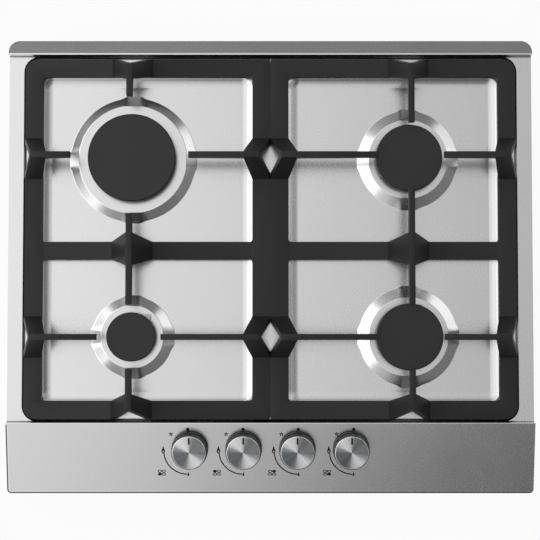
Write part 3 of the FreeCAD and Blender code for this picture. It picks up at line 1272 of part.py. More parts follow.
os.makedirs("parts", exist_ok=True)
for name, shape in build().items():
    valid = "valid" if shape.isValid() else "INVALID"
    print("%-24s %s solids %2d volume %.1f" % (name, valid, len(shape.Solids), shape.Volume))
    shape.exportStep("parts/%s.step" % name)
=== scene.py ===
"""Looks of a built-in gas cooktop with four burners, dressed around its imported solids."""

import json
import logging
import math
from dataclasses import dataclass
from enum import Enum

import bmesh
import bpy
from mathutils import Matrix, Vector


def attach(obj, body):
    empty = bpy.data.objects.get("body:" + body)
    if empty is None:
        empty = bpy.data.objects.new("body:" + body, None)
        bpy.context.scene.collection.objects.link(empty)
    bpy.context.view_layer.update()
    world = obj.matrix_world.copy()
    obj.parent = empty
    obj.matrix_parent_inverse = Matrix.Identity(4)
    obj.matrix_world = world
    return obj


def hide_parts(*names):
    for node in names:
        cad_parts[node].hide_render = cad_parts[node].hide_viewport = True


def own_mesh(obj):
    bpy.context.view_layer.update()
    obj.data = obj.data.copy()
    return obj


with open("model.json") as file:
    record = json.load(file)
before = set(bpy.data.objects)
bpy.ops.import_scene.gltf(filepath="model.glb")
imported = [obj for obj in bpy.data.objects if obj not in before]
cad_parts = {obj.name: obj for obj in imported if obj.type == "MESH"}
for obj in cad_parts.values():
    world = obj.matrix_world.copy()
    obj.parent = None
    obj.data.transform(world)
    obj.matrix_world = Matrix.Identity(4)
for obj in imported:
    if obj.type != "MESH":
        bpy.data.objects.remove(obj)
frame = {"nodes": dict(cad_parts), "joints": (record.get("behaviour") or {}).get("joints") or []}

logging.basicConfig(level=logging.INFO, format="%(message)s")
log = logging.getLogger("cooktop")

MM = 0.001
Colour = tuple[float, float, float]
Point = tuple[float, float, float]


class Axis(Enum):
    """Direction that the grinding lines of a brushed finish follow."""

    ALONG_RIM = "x"
    ALONG_DEPTH = "y"
    UPWARDS = "z"


class Corner(Enum):
    """Place of a burner seen from the front."""

    REAR_LEFT = "rear_left"
    FRONT_LEFT = "front_left"
    REAR_RIGHT = "rear_right"
    FRONT_RIGHT = "front_right"


# --------------------------------------------------------------------------- finishes
class Recipe:
    """Builds one node material step by step."""

    def __init__(self, name: str) -> None:
        """Starts a material with an empty node tree.

        Args:
            name: Name of the material.
        """
        self.material = bpy.data.materials.new(name)
        self.material.use_nodes = True
        self.tree = self.material.node_tree
        self.tree.nodes.clear()
        self.output = self.tree.nodes.new("ShaderNodeOutputMaterial")
        self.shader = self.tree.nodes.new("ShaderNodeBsdfPrincipled")
        self.link(self.shader.outputs["BSDF"], self.output.inputs["Surface"])

    def link(self, source: bpy.types.NodeSocket, target: bpy.types.NodeSocket) -> None:
        """Joins two sockets."""
        self.tree.links.new(source, target)

    def node(self, kind: str, **settings: object) -> bpy.types.Node:
        """Adds a node.

        Args:
            kind: Short name of the node, such as "TexNoise".
            settings: Properties of the node.

        Returns:
            The new node.
        """
        made = self.tree.nodes.new("ShaderNode" + kind)
        for key, value in settings.items():
            setattr(made, key, value)
        return made

    def place(self, scale: Point = (1.0, 1.0, 1.0), move: Point = (0.0, 0.0, 0.0)) -> bpy.types.NodeSocket:
        """Gives the object's own coordinates.

        Args:
            scale: Stretch of the pattern along each axis.
            move: Point that becomes the pattern's centre, in metres.

        Returns:
            The vector socket.
        """
        where = self.node("TexCoord")
        mapping = self.node("Mapping")
        mapping.inputs["Scale"].default_value = scale
        mapping.inputs["Location"].default_value = tuple(-m * s for m, s in zip(move, scale))
        self.link(where.outputs["Object"], mapping.inputs["Vector"])
        return mapping.outputs["Vector"]

    def noise(self, vector: bpy.types.NodeSocket, scale: float, detail: float = 3.0,
              roughness: float = 0.5) -> bpy.types.NodeSocket:
        """Adds a noise pattern.

        Args:
            vector: Coordinates that it reads.
            scale: Bumps per metre.
            detail: Finer layers.
            roughness: Weight of the finer layers.

        Returns:
            The value socket.
        """
        made = self.node("TexNoise")
        made.inputs["Scale"].default_value = scale
        made.inputs["Detail"].default_value = detail
        made.inputs["Roughness"].default_value = roughness
        self.link(vector, made.inputs["Vector"])
        return made.outputs["Fac"]

    def spread(self, value: bpy.types.NodeSocket, low: float, high: float, start: float = 0.25,
               end: float = 0.75) -> bpy.types.NodeSocket:
        """Maps a value from one range to another.

        Args:
            value: Socket that is mapped.
            low: Result at start.
            high: Result at end.
            start: Lower limit of the input.
            end: Upper limit of the input.

        Returns:
            The mapped value socket.
        """
        made = self.node("MapRange")
        made.inputs["From Min"].default_value = start
        made.inputs["From Max"].default_value = end
        made.inputs["To Min"].default_value = low
        made.inputs["To Max"].default_value = high
        self.link(value, made.inputs["Value"])
        return made.outputs["Result"]

    def sum(self, first: bpy.types.NodeSocket, second: bpy.types.NodeSocket,
            operation: str = "ADD") -> bpy.types.NodeSocket:
        """Combines two values.

        Args:
            first: First socket.
            second: Second socket.
            operation: Math node's operation.

        Returns:
            The result socket.
        """
        made = self.node("Math", operation=operation)
        self.link(first, made.inputs[0])
        self.link(second, made.inputs[1])
        return made.outputs[0]

    def tint(self, value: bpy.types.NodeSocket, dark: Colour, light: Colour) -> bpy.types.NodeSocket:
        """Colours a value from dark to light.

        Args:
            value: Socket from 0 to 1.
            dark: Colour at 0.
            light: Colour at 1.

        Returns:
            The colour socket.
        """
        made = self.node("Mix", data_type="RGBA")
        for socket in made.inputs:
            if socket.name == "A" and socket.type == "RGBA":
                socket.default_value = (*dark, 1.0)
            if socket.name == "B" and socket.type == "RGBA":
                socket.default_value = (*light, 1.0)
        self.link(value, made.inputs["Factor"])
        return next(s for s in made.outputs if s.type == "RGBA")

    def relief(self, height: bpy.types.NodeSocket, distance: float, strength: float = 1.0) -> None:
        """Adds a bump to the shader.

        Args:
            height: Socket that gives the height.
            distance: Height of the relief in metres.
            strength: Share of the relief that is used.
        """
        made = self.node("Bump")
        made.inputs["Distance"].default_value = distance
        made.inputs["Strength"].default_value = strength
        self.link(height, made.inputs["Height"])
        self.link(made.outputs["Normal"], self.shader.inputs["Normal"])

    def feed(self, name: str, source: bpy.types.NodeSocket) -> None:
        """Joins a pattern to an input of the shader."""
        self.link(source, self.shader.inputs[name])

    def fix(self, name: str, value: object) -> None:
        """Sets a constant on the shader's own socket."""
        self.shader.inputs[name].default_value = value


@dataclass(frozen=True)
class PaintedLightBand:
    """Band along a rectangle with round corners, seen in plan, where painted shade darkens a sheet or a
    painted highlight lightens it.
    """

    centre: tuple[float, float]
    half: tuple[float, float]
    corner: float
    start: float
    end: float
    shade: float
    rear: float = 1.0
    soft: float = 0.4 * MM

    def mask(self, recipe: Recipe) -> bpy.types.NodeSocket:
        """Measures how far a point lies from the rectangle's outline.

        Args:
            recipe: Material that gets the pattern.

        Returns:
            A factor that is 1 outside the band and shade inside it.
        """
        offset = recipe.node("VectorMath", operation="ABSOLUTE")
        recipe.link(recipe.place((1.0, 1.0, 0.0), (*self.centre, 0.0)), offset.inputs[0])
        inner = recipe.node("VectorMath", operation="SUBTRACT")
        inner.inputs[1].default_value = (self.half[0] - self.corner, self.half[1] - self.corner, 0.0)
        recipe.link(offset.outputs["Vector"], inner.inputs[0])
        positive = recipe.node("VectorMath", operation="MAXIMUM")
        recipe.link(inner.outputs["Vector"], positive.inputs[0])
        length = recipe.node("VectorMath", operation="LENGTH")
        recipe.link(positive.outputs["Vector"], length.inputs[0])
        reach = length.outputs["Value"]
        first, last = self.corner + self.start, self.corner + self.end
        rise = recipe.spread(reach, 0.0, 1.0, first - self.soft, first)
        fall = recipe.spread(reach, 1.0, 0.0, last, last + self.soft)
        split = recipe.node("SeparateXYZ")
        recipe.link(recipe.place(), split.inputs[0])
        front = recipe.spread(split.outputs["Y"], 1.0, 0.0, self.rear, self.rear + self.soft)
        band = recipe.sum(recipe.sum(rise, fall, "MULTIPLY"), front, "MULTIPLY")
        return recipe.spread(band, 1.0, self.shade, 0.0, 1.0)


@dataclass(frozen=True)
class BrushedMetal:
    """Sheet or bar with fine grinding lines, faint clouds of wear and optional bands of painted shade and
    painted highlight.
    """

    name: str
    dark: Colour
    light: Colour
    roughness: float
    axis: Axis = Axis.ALONG_RIM
    grain: float = 900.0
    stretch: float = 14.0
    relief: float = 4e-6
    painted_light_bands: tuple[PaintedLightBand, ...] = ()

    def material(self) -> bpy.types.Material:
        """Builds the material.

        Returns:
            The finished material.
        """
        recipe = Recipe(self.name)
        scale = {Axis.ALONG_RIM: (1 / self.stretch, 1.0, 1.0), Axis.ALONG_DEPTH: (1.0, 1 / self.stretch, 1.0),
                 Axis.UPWARDS: (1.0, 1.0, 1 / self.stretch)}[self.axis]
        lines = recipe.noise(recipe.place(scale), self.grain, 4.0, 0.65)
        specks = recipe.noise(recipe.place(), self.grain * 1.7, 2.0, 0.6)
        clouds = recipe.noise(recipe.place(), 9.0, 4.0, 0.55)
        grain = recipe.sum(recipe.spread(lines, 0.0, 0.6), recipe.spread(specks, 0.0, 0.4))
        shade = recipe.sum(recipe.spread(grain, 0.0, 0.75, 0.2, 0.8), recipe.spread(clouds, 0.0, 0.25))
        colour = recipe.tint(shade, self.dark, self.light)
        # Painted shade and highlight: each band scales the colour darker or lighter along its outline.
        for outline in self.painted_light_bands:
            scaled = recipe.node("VectorMath", operation="MULTIPLY")
            recipe.link(colour, scaled.inputs[0])
            recipe.link(outline.mask(recipe), scaled.inputs[1])
            colour = scaled.outputs["Vector"]
        recipe.feed("Base Color", colour)
        rough = recipe.sum(recipe.spread(grain, self.roughness * 0.88, self.roughness * 1.12, 0.2, 0.8),
                           recipe.spread(clouds, -0.02, 0.02))
        recipe.feed("Roughness", rough)
        recipe.fix("Metallic", 1.0)
        recipe.relief(grain, self.relief)
        return recipe.material


@dataclass(frozen=True)
class CastSkin:
    """Cast or enamelled surface: fine orange-peel relief and small changes of shade."""

    name: str
    dark: Colour
    light: Colour
    roughness: float
    metallic: float = 0.0
    grain: float = 700.0
    relief: float = 2.5e-5
    specular: float = 0.5

    def material(self) -> bpy.types.Material:
        """Builds the material.

        Returns:
            The finished material.
        """
        recipe = Recipe(self.name)
        grit = recipe.noise(recipe.place(), self.grain, 3.0, 0.55)
        clouds = recipe.noise(recipe.place(), 22.0, 4.0, 0.6)
        shade = recipe.sum(recipe.spread(grit, 0.0, 0.55), recipe.spread(clouds, 0.0, 0.45))
        recipe.feed("Base Color", recipe.tint(shade, self.dark, self.light))
        rough = recipe.sum(recipe.spread(grit, self.roughness - 0.05, self.roughness + 0.05),
                           recipe.spread(clouds, -0.04, 0.04))
        recipe.feed("Roughness", rough)
        recipe.fix("Metallic", self.metallic)
        recipe.fix("Specular IOR Level", self.specular)
        recipe.relief(grit, self.relief)
        return recipe.material


@dataclass(frozen=True)
class Moulding:
    """Plastic, rubber or glaze with a faint moulded texture."""

    name: str
    dark: Colour
    light: Colour
    roughness: float
    grain: float = 1600.0
    relief: float = 8e-6
    coat: float = 0.0
    specular: float = 0.5

    def material(self) -> bpy.types.Material:
        """Builds the material.

        Returns:
            The finished material.
        """
        recipe = Recipe(self.name)
        texture = recipe.noise(recipe.place(), self.grain, 2.0, 0.5)
        clouds = recipe.noise(recipe.place(), 35.0, 3.0, 0.5)
        shade = recipe.sum(recipe.spread(texture, 0.0, 0.4), recipe.spread(clouds, 0.0, 0.6))
        recipe.feed("Base Color", recipe.tint(shade, self.dark, self.light))
        recipe.feed("Roughness", recipe.spread(texture, self.roughness - 0.04, self.roughness + 0.04))
        recipe.fix("Coat Weight", self.coat)
        recipe.fix("Specular IOR Level", self.specular)
        recipe.relief(texture, self.relief)
        return recipe.material


@dataclass(frozen=True)
class SpunMetal:
    """Disc turned on a lathe: fine rings round its middle that spread light outwards, with painted
    reflections: light and dark sectors painted into its colour round the disc.
    """

    name: str
    dark: Colour
    light: Colour
    roughness: float
    anisotropy: float = 0.95
    rings: float = 160.0
    relief: float = 3e-6
    rim_start: float = 0.955
    rim_end: float = 0.965
    # Painted reflections: colour levels round the disc, from 0 to 1 of a turn, that stand in for the bright
    # and dark sectors reflected in the face.
    painted_reflection_sectors: tuple[tuple[float, float], ...] = (
        (0.0, 0.26), (0.04, 0.36), (0.10, 0.38), (0.125, 0.31), (0.17, 0.33), (0.22, 0.46), (0.27, 0.85),
        (0.30, 1.0), (0.37, 1.0), (0.41, 0.82), (0.455, 0.40), (0.50, 0.24), (0.54, 0.23), (0.58, 0.29),
        (0.625, 0.24), (0.67, 0.25), (0.71, 0.42), (0.75, 0.80), (0.79, 1.0), (0.86, 1.0), (0.90, 0.76),
        (0.94, 0.44), (1.0, 0.26))

    def material(self) -> bpy.types.Material:
        """Builds the material from the piece's own UV map, with painted reflection sectors round the disc.

        Returns:
            The finished material.
        """
        recipe = Recipe(self.name)
        chart = recipe.node("UVMap", uv_map="spun")
        mapping = recipe.node("Mapping")
        mapping.inputs["Scale"].default_value = (0.0, self.rings, 0.0)
        recipe.link(chart.outputs["UV"], mapping.inputs["Vector"])
        rings = recipe.noise(mapping.outputs["Vector"], 1.0, 3.0, 0.7)
        split = recipe.node("SeparateXYZ")
        recipe.link(chart.outputs["UV"], split.inputs[0])
        turn = recipe.node("Math", operation="FRACT")
        recipe.link(split.outputs["X"], turn.inputs[0])
        # Painted reflections: the sector ramp below gives the colour level round the disc.
        ramp = recipe.node("ValToRGB")
        ramp.color_ramp.interpolation = "EASE"
        stops = ramp.color_ramp.elements
        stops[0].position, stops[-1].position = self.painted_reflection_sectors[0][0], self.painted_reflection_sectors[-1][0]
        for place, _ in self.painted_reflection_sectors[1:-1]:
            stops.new(place)
        for stop, (_, level) in zip(stops, self.painted_reflection_sectors):
            stop.color = (level, level, level, 1.0)
        recipe.link(turn.outputs["Value"], ramp.inputs["Fac"])
        # The rim band is kept at full brightness over the painted reflection sectors.
        rim = recipe.spread(split.outputs["Y"], 0.0, 1.0, self.rim_start, self.rim_end)
        level = recipe.sum(ramp.outputs["Color"], rim, "MAXIMUM")
        shade = recipe.sum(level, recipe.spread(rings, -0.06, 0.06))
        recipe.feed("Base Color", recipe.tint(shade, self.dark, self.light))
        recipe.feed("Roughness", recipe.spread(rings, self.roughness * 0.9, self.roughness * 1.1))
        tangent = recipe.node("Tangent", direction_type="UV_MAP", uv_map="spun")
        recipe.link(tangent.outputs["Tangent"], recipe.shader.inputs["Tangent"])
        recipe.fix("Metallic", 1.0)
        recipe.fix("Anisotropic", self.anisotropy)
        recipe.fix("Anisotropic Rotation", 0.25)
        recipe.relief(rings, self.relief)
        return recipe.material


# Painted shade and painted highlight along the plate's edge, standing in for the light and shade of the edge
# turning down: a dark band with a brighter band just inside it. The rectangle reaches past the plate on the
# right and at the rear, so it marks two edges only: the panel's left and front.
EDGE_PAINT_CENTRE = (50.0 * MM, 100.0 * MM)
EDGE_PAINT_HALF = (345.0 * MM, 355.0 * MM)
EDGE_PAINT_CORNER = 4.5 * MM
PANEL_REAR = -178.0 * MM
# Painted shade: the dark band along the edge and everything beyond it.
PAINTED_EDGE_SHADE = PaintedLightBand(EDGE_PAINT_CENTRE, EDGE_PAINT_HALF, EDGE_PAINT_CORNER, start=-1.3 * MM, end=1.0, shade=0.17, rear=PANEL_REAR)
# Painted highlight: the brighter band just inside the dark one.
PAINTED_EDGE_HIGHLIGHT = PaintedLightBand(EDGE_PAINT_CENTRE, EDGE_PAINT_HALF, EDGE_PAINT_CORNER, start=-2.3 * MM, end=-1.5 * MM, shade=1.18,
                   rear=PANEL_REAR)
# Painted shade: darkens the steel in the narrow channel round the pan supports, deepening the real shadow in
# that channel.
PAINTED_CHANNEL_SHADE = PaintedLightBand((0.0, 31.1 * MM), (278.3 * MM, 205.4 * MM), 17.0 * MM, start=-3.0 * MM, end=-0.3 * MM,
                  shade=0.25)
# The plate's colour carries the painted edge shade, painted edge highlight and painted channel shade above.
PLATE_STEEL = BrushedMetal("plate_steel", (0.72, 0.72, 0.722), (0.83, 0.83, 0.83), 0.25, grain=1500.0,
                           stretch=2.5, relief=2e-6, painted_light_bands=(PAINTED_EDGE_SHADE, PAINTED_EDGE_HIGHLIGHT, PAINTED_CHANNEL_SHADE))
CASE_STEEL = BrushedMetal("case_steel", (0.38, 0.39, 0.40), (0.60, 0.61, 0.62), 0.42, grain=300.0,
                          stretch=2.0)
ZINC = BrushedMetal("zinc_plate", (0.50, 0.50, 0.49), (0.72, 0.72, 0.70), 0.34, grain=700.0, stretch=3.0)
WIRE_STEEL = BrushedMetal("wire_steel", (0.42, 0.42, 0.43), (0.62, 0.62, 0.63), 0.32, Axis.UPWARDS)
TUBE = BrushedMetal("tube_aluminium", (0.62, 0.62, 0.63), (0.80, 0.80, 0.81), 0.28, Axis.ALONG_DEPTH)
BRASS = BrushedMetal("brass", (0.58, 0.42, 0.17), (0.80, 0.62, 0.30), 0.28, grain=1200.0, stretch=4.0)
CAST_ALUMINIUM = CastSkin("cast_aluminium", (0.40, 0.40, 0.41), (0.62, 0.62, 0.62), 0.45, 1.0, 900.0)
VALVE_CAST = CastSkin("valve_cast", (0.46, 0.46, 0.46), (0.66, 0.66, 0.66), 0.40, 1.0, 1100.0)
SUPPORT_IRON = CastSkin("support_iron", (0.010, 0.010, 0.010), (0.018, 0.018, 0.018), 0.52, grain=650.0,
                        relief=2.2e-5, specular=0.42)
CAP_ENAMEL = CastSkin("cap_enamel", (0.015, 0.015, 0.015), (0.022, 0.022, 0.022), 0.55, 0.0, 900.0, 1.2e-5)
SEAL = Moulding("seal_rubber", (0.015, 0.015, 0.015), (0.030, 0.030, 0.030), 0.75, 900.0, 2e-5)
FOOT = Moulding("foot_rubber", (0.012, 0.012, 0.012), (0.025, 0.025, 0.025), 0.70, 900.0, 2e-5)
CERAMIC = Moulding("ceramic", (0.74, 0.73, 0.70), (0.86, 0.85, 0.82), 0.22, 500.0, 4e-6, 0.6)
KNOB_PLASTIC = Moulding("knob_plastic", (0.012, 0.012, 0.013), (0.022, 0.022, 0.024), 0.36, specular=0.35)
HOUSING = Moulding("housing_plastic", (0.018, 0.018, 0.020), (0.034, 0.034, 0.037), 0.48)
TERMINAL = Moulding("terminal_plastic", (0.62, 0.62, 0.60), (0.74, 0.74, 0.72), 0.40)
LEAD = Moulding("lead_silicone", (0.32, 0.055, 0.025), (0.46, 0.10, 0.05), 0.42)
WIRE = Moulding("wire_cover", (0.045, 0.045, 0.055), (0.075, 0.075, 0.09), 0.40)
KNOB_METAL = BrushedMetal("knob_metal", (0.55, 0.56, 0.58), (0.75, 0.76, 0.77), 0.25, grain=1500.0)
SPUN_FACE_WITH_PAINTED_REFLECTIONS = SpunMetal("spun_face_painted_reflections", (0.0, 0.022, 0.038), (1.0, 1.0, 1.0), 0.36)
INK = Moulding("print_ink", (0.003, 0.003, 0.003), (0.006, 0.006, 0.006), 0.60, specular=0.12)

NODE_FINISH = {
    "top_plate": PLATE_STEEL, "bottom_case": CASE_STEEL, "rim_seal": SEAL, "case_fix": ZINC,
    "assembly_screws": ZINC, "injectors": BRASS, "spark_ceramics": CERAMIC, "spark_pins": WIRE_STEEL,
    "thermocouples": WIRE_STEEL, "supply_tubes": TUBE, "tube_nuts": BRASS, "gas_rail": ZINC,
    "gas_inlet_elbow": BRASS, "valve_bracket": CASE_STEEL, "microswitches": HOUSING,
    "ignition_generator": HOUSING, "ignition_leads": LEAD, "terminal_block": TERMINAL,
    "cable_gland": HOUSING, "wiring": WIRE, "pan_support_left": SUPPORT_IRON,
    "pan_support_right": SUPPORT_IRON, "support_feet_left": FOOT, "support_feet_right": FOOT,
    "burner_cup": CAST_ALUMINIUM, "burner_crown": CAST_ALUMINIUM, "burner_cap": CAP_ENAMEL,
    "valve_body": VALVE_CAST, "valve_plug": BRASS, "valve_spindle": WIRE_STEEL, "valve_spring": WIRE_STEEL,
    "knob_face": KNOB_METAL, "knob": KNOB_PLASTIC,
}

Finish = BrushedMetal | CastSkin | Moulding | SpunMetal


class Dresser:
    """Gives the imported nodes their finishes."""

    def __init__(self) -> None:
        """Starts with no material made."""
        self.made: dict[str, bpy.types.Material] = {}

    def material(self, finish: Finish) -> bpy.types.Material:
        """Makes a finish's material once.

        Args:
            finish: Finish that is wanted.

        Returns:
            Its material.
        """
        if finish.name not in self.made:
            self.made[finish.name] = finish.material()
        return self.made[finish.name]

    def dress(self, piece: bpy.types.Object, finish: Finish) -> None:
        """Puts one finish all over a piece.

        Args:
            piece: Piece that is dressed.
            finish: Its finish.
        """
        piece.data.materials.clear()
        piece.data.materials.append(self.material(finish))

    def dress_nodes(self) -> None:
        """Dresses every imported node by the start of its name."""
        for name, node in frame["nodes"].items():
            key = max((k for k in NODE_FINISH if name.startswith(k)), key=len)
            self.dress(node, NODE_FINISH[key])
        log.info("dressed %d packed nodes", len(frame["nodes"]))


# --------------------------------------------------------------------------- modelling
class Bench:
    """Modelling steps that every piece shares."""

    @staticmethod
    def clear() -> None:
        """Leaves nothing selected in object mode."""
        if bpy.context.object and bpy.context.object.mode != "OBJECT":
            bpy.ops.object.mode_set(mode="OBJECT")
        bpy.ops.object.select_all(action="DESELECT")

    @staticmethod
    def take(name: str) -> bpy.types.Object:
        """Names the primitive that was just added.

        Args:
            name: Its name.

        Returns:
            The object.
        """
        piece = bpy.context.object
        piece.name = name
        piece.data.name = name
        return piece

    @staticmethod
    def only(piece: bpy.types.Object) -> None:
        """Makes one piece active and selected alone."""
        Bench.clear()
        piece.select_set(True)
        bpy.context.view_layer.objects.active = piece

    @staticmethod
    def edit(piece: bpy.types.Object, kind: str = "FACE") -> bmesh.types.BMesh:
        """Opens a piece in edit mode with nothing selected.

        Args:
            piece: Piece to edit.
            kind: "VERT", "EDGE" or "FACE".

        Returns:
            Its edit mesh.
        """
        Bench.only(piece)
        bpy.ops.object.mode_set(mode="EDIT")
        bpy.ops.mesh.select_mode(type=kind)
        bpy.ops.mesh.select_all(action="DESELECT")
        return bmesh.from_edit_mesh(piece.data)

    @staticmethod
    def pick(piece: bpy.types.Object, mesh: bmesh.types.BMesh, elements: list) -> None:
        """Selects elements of the edit mesh.

        Args:
            piece: Piece in edit mode.
            mesh: Its edit mesh.
            elements: Vertices, edges or faces.
        """
        for element in elements:
            element.select_set(True)
        mesh.select_flush(True)
        bmesh.update_edit_mesh(piece.data)

    @staticmethod
    def done() -> None:
        """Leaves edit mode."""
        bpy.ops.object.mode_set(mode="OBJECT")

    @staticmethod
    def modifier(piece: bpy.types.Object, kind: str, **settings: object) -> None:
        """Adds a modifier and applies it.

        Args:
            piece: Piece that is changed.
            kind: Modifier's type.
            settings: Its properties.
        """
        Bench.only(piece)
        made = piece.modifiers.new(kind.title(), kind)
        for key, value in settings.items():
            setattr(made, key, value)
        bpy.ops.object.modifier_apply(modifier=made.name)

    @staticmethod
    def settle(piece: bpy.types.Object, place: Matrix | None = None, angle: float = 35.0) -> None:
        """Moves a piece's place into its mesh, with faces outwards and shaded smooth.

        Args:
            piece: Piece that is finished.
            place: Place of its own axes in the row frame.
            angle: Sharpest bend in degrees that is shaded smooth.
        """
        Bench.only(piece)
        if place is not None:
            piece.matrix_world = place @ piece.matrix_world
        bpy.ops.object.transform_apply(location=True, rotation=True, scale=True)
        Bench.edit(piece)
        bpy.ops.mesh.select_all(action="SELECT")
        bpy.ops.mesh.remove_doubles(threshold=1e-6)
        bpy.ops.mesh.normals_make_consistent(inside=False)
        Bench.done()
        bpy.ops.object.shade_smooth_by_angle(angle=math.radians(angle))

    @staticmethod
    def join(pieces: list[bpy.types.Object], name: str) -> bpy.types.Object:
        """Joins pieces into one.

        Args:
            pieces: Pieces to join.
            name: Name of the result.

        Returns:
            The joined piece.
        """
        Bench.only(pieces[0])
        for piece in pieces[1:]:
            piece.select_set(True)
        bpy.ops.object.join()
        return Bench.take(name)

    @staticmethod
    def copy(piece: bpy.types.Object, name: str) -> bpy.types.Object:
        """Copies a piece with its own mesh.

        Args:
            piece: Piece to copy.
            name: Name of the copy.

        Returns:
            The copy.
        """
        made = piece.copy()
        made.data = piece.data.copy()
        bpy.context.scene.collection.objects.link(made)
        made.name = name
        made.data.name = name
        return made


@dataclass
class Control:
    """Place of one knob, taken from its joint."""

    number: int

    @property
    def joint(self) -> dict:
        """The joint that turns this knob."""
        return next(j for j in frame["joints"] if j["name"] == f"knob_{self.number}_turn")

    @property
    def place(self) -> Matrix:
        """The knob's own axes: origin on the panel, Z out of it and Y up its slope."""
        out = Vector(self.joint["axis"]).normalized()
        across = Vector((1, 0, 0))
        up = out.cross(across)
        turn = Matrix((across, up, out)).transposed().to_4x4()
        return Matrix.Translation(Vector(self.joint["pos_m"])) @ turn


@dataclass
class PanSupports:
    """Cast pan supports with softened edges."""

    edge: float = 1.3 * MM
    steps: int = 3
    seam: float = 0.3 * MM
    weld: float = 0.02 * MM
    sharpest: float = 25.0

    def build(self, dresser: Dresser) -> None:
        """Rounds a merged copy of each support and shows it in the support's place.

        Args:
            dresser: Gives the finish.
        """
        for side in ("left", "right"):
            node = f"pan_support_{side}"
            piece = Bench.copy(frame["nodes"][node], f"cast_support_{side}")
            piece.parent = None
            for key in list(piece.keys()):
                del piece[key]
            Bench.edit(piece)
            bpy.ops.mesh.select_all(action="SELECT")
            bpy.ops.mesh.remove_doubles(threshold=self.weld)
            bpy.ops.mesh.dissolve_limited(angle_limit=math.radians(1.0))
            bpy.ops.mesh.normals_make_consistent(inside=False)
            mesh = Bench.edit(piece)
            inner = [f for f in mesh.faces if abs(f.normal.x) > 0.99 and abs(f.calc_center_median().x) < MM]
            Bench.pick(piece, mesh, inner)
            bpy.ops.transform.translate(value=(self.seam if side == "left" else -self.seam, 0, 0))
            Bench.done()
            Bench.modifier(piece, "BEVEL", width=self.edge, segments=self.steps, limit_method="ANGLE",
                           angle_limit=math.radians(self.sharpest), miter_outer="MITER_ARC",
                           use_clamp_overlap=True)
            Bench.settle(piece, angle=30.0)
            dresser.dress(piece, SUPPORT_IRON)
            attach(piece, f"support_{side}")
            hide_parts(node)
            log.info("cast support %s: %d faces", side, len(piece.data.polygons))


